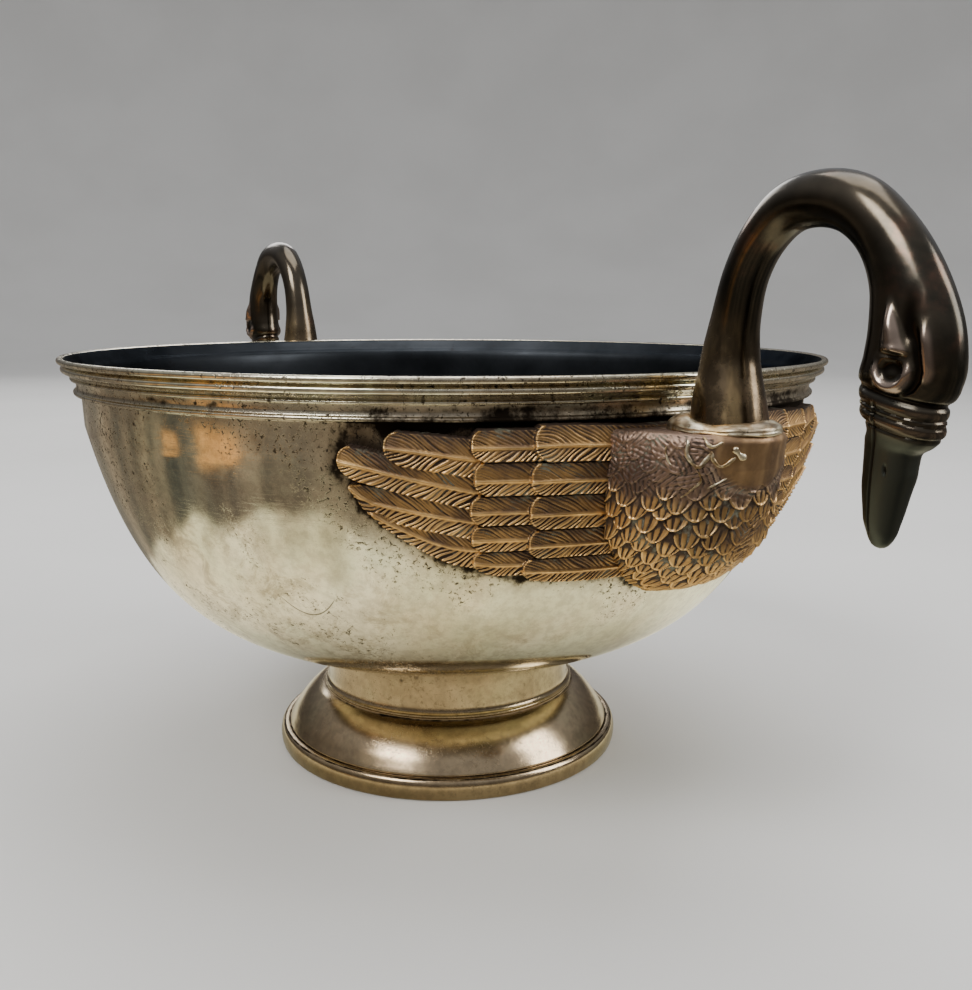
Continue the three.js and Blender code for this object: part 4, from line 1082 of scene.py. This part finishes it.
def reflected_ground(name):
    """A glowing card that only reflections show, painted with what polished metal should reflect: pale close
    by, darker right under the bowl, then brown-grey, with a few warm patches.
    """
    n = Nodes(name)
    away = n.value("VectorMath", "Value", {0: n.where}, operation="LENGTH")
    toward = n.value("VectorMath", "Vector", {0: n.where}, operation="NORMALIZE")
    near = n.mix(n.ramp(n.noise(14.0, 4.0, 0.5), 0.35, 0.7), (1.5, 1.42, 1.07), (1.14, 1.05, 0.76))
    # Painted shadow of the bowl on the reflected ground round the foot.
    near = n.mix(n.ramp(away, 0.05, 0.14, 0.2, 1.0), (0.05, 0.045, 0.035), near)
    # Dark stripes farther out: painted reflections for the foot's neck.
    stripes = n.ramp(n.noise(9.0, 2.0, 0.5, 0.0, toward), 0.5, 0.58)
    at_stripes = n.ramp(away, 0.165, 0.2) * n.ramp(away, 0.2, 0.235, 0.4, 0.0)
    near = n.mix(stripes * at_stripes, near, (0.26, 0.2, 0.14))
    tone = n.ramp(n.noise(4.6, 4.0, 0.6, 0.3, toward), 0.42, 0.6)
    far = n.mix(tone, (0.115, 0.12, 0.115), (0.46, 0.39, 0.3))
    blotch = n.ramp(n.noise(3.4, 3.0, 0.5, 0.6), 0.45, 0.7, 0.0, 0.7)
    far = n.mix(blotch, far, (0.19, 0.15, 0.125))
    for side, narrow, nearest, share in WARM_PATCHES:
        middle = (math.cos(math.radians(side)), math.sin(math.radians(side)), 0.0)
        facing = n.value("VectorMath", "Value", {0: toward, 1: middle}, operation="DOT_PRODUCT")
        warm = n.ramp(facing, narrow, 0.5 + narrow / 2) * n.ramp(away, nearest, nearest + 0.04, 0.0, share)
        broken = n.ramp(n.noise(9.0, 3.0, 0.5), 0.36, 0.5, 0.4, 1.0)
        far = n.mix(warm * broken, far, (1.1, 0.6, 0.24))
    turned_edge = (n.noise(1.6, 3.0, 0.55, 0.0, toward) - 0.5) * 0.16
    ragged = away + turned_edge + n.noise(16.0, 3.0, 0.5) * 0.03
    return n.shade("Emission", {"Color": n.mix(n.ramp(ragged, 0.218, 0.24), near, far), "Strength": 1.0})


def studio_world():
    """Soft surroundings: brown-grey near the horizon and pale overhead."""
    n = Nodes("studio", "worlds", "Generated")
    sky = n.mix(n.ramp(n.axis("Z"), -0.02, 0.75), (0.15, 0.135, 0.12), (0.66, 0.68, 0.72))
    bpy.context.scene.world = n.shade("Background", {"Color": sky, "Strength": 0.8}, "OutputWorld")


STUDIO_SIDES = 96
floor = staged(turned("floor", floor_profile(), STUDIO_SIDES), plain_floor("plain_floor"))
# Reflections skip the floor; the card below takes its place in them.
floor.visible_glossy = False
# A glowing card below the floor that only reflections show, painted with reflections of ground and
# surroundings.
ground_profile = [(r, -2.0) for r in np.linspace(0.5, 5000.0, 40)]
reflection_card = staged(turned("painted_reflection_ground", ground_profile, STUDIO_SIDES), reflected_ground("painted_reflection_ground"))
for ray in ("visible_camera", "visible_diffuse", "visible_shadow", "visible_transmission"):
    setattr(reflection_card, ray, False)
studio_world()

# Camera in metres and radians, from a fit of the rim and foot circles in the frame of the bowl
CAMERA_DISTANCE = 0.3644
CAMERA_HEIGHT = 0.15298
CAMERA_PITCH = 0.1810
CAMERA_YAW = 0.0371
CAMERA_ROLL = 0.0028
HANDLE_TURN = 1.0635
FOCAL_PIXELS = 1050.0
LONG_SIDE_PIXELS = 990.0
SENSOR_WIDTH = 36.0


def make_camera():
    """The photograph's camera; returns its own right-hand direction and the way it looks."""
    data = bpy.data.cameras.new("camera")
    data.sensor_fit = "AUTO"
    data.sensor_width = SENSOR_WIDTH
    data.lens = FOCAL_PIXELS * SENSOR_WIDTH / LONG_SIDE_PIXELS
    data.clip_start, data.clip_end = 0.01, 50.0
    heading = CAMERA_YAW - HANDLE_TURN
    flat = Vector((math.sin(heading), math.cos(heading), 0.0))
    forward = flat * math.cos(CAMERA_PITCH) - Vector((0, 0, math.sin(CAMERA_PITCH)))
    right_hand = Vector((math.cos(heading), -math.sin(heading), 0.0))
    up = right_hand.cross(forward)
    x_axis = right_hand * math.cos(CAMERA_ROLL) + up * math.sin(CAMERA_ROLL)
    y_axis = up * math.cos(CAMERA_ROLL) - right_hand * math.sin(CAMERA_ROLL)
    turn = Matrix((x_axis, y_axis, -forward)).transposed().to_4x4()
    from_bowl = Vector((math.sin(HANDLE_TURN), -math.cos(HANDLE_TURN), 0.0))
    place = CAMERA_DISTANCE * from_bowl + Vector((0.0, 0.0, CAMERA_HEIGHT))
    camera = bpy.data.objects.new("camera", data)
    camera.matrix_world = Matrix.Translation(place) @ turn
    bpy.context.scene.collection.objects.link(camera)
    bpy.context.scene.camera = camera
    return x_axis, forward


camera_right, camera_forward = make_camera()


def from_camera(right_m, forward_m, height):
    """A place in the camera's own directions round the bowl's middle: to its right, away from it, and up."""
    ahead = Vector((camera_forward.x, camera_forward.y, 0)).normalized()
    across = Vector((camera_right.x, camera_right.y, 0)).normalized()
    return across * right_m + ahead * forward_m + Vector((0, 0, height))


def soft_light(name, place, spread, power):
    """A rectangular soft light that looks at the object; places and sizes in metres."""
    data = bpy.data.lights.new(name, "AREA")
    data.shape = "RECTANGLE"
    data.size, data.size_y = spread
    data.energy = power
    lamp = bpy.data.objects.new(name, data)
    lamp.location = place
    lamp.rotation_euler = (AIM - place).to_track_quat("-Z", "Y").to_euler()
    bpy.context.scene.collection.objects.link(lamp)


AIM = Vector((0.0, 0.0, 0.09))
soft_light("key", from_camera(-0.9, -1.0, 1.5), (0.8, 0.8), 26)
soft_light("side", from_camera(1.5, -0.35, 0.9), (0.7, 1.0), 18)
soft_light("top", from_camera(0.1, 0.3, 1.9), (1.4, 1.4), 24)
soft_light("back", from_camera(-0.5, 1.6, 1.0), (1.2, 0.6), 10)
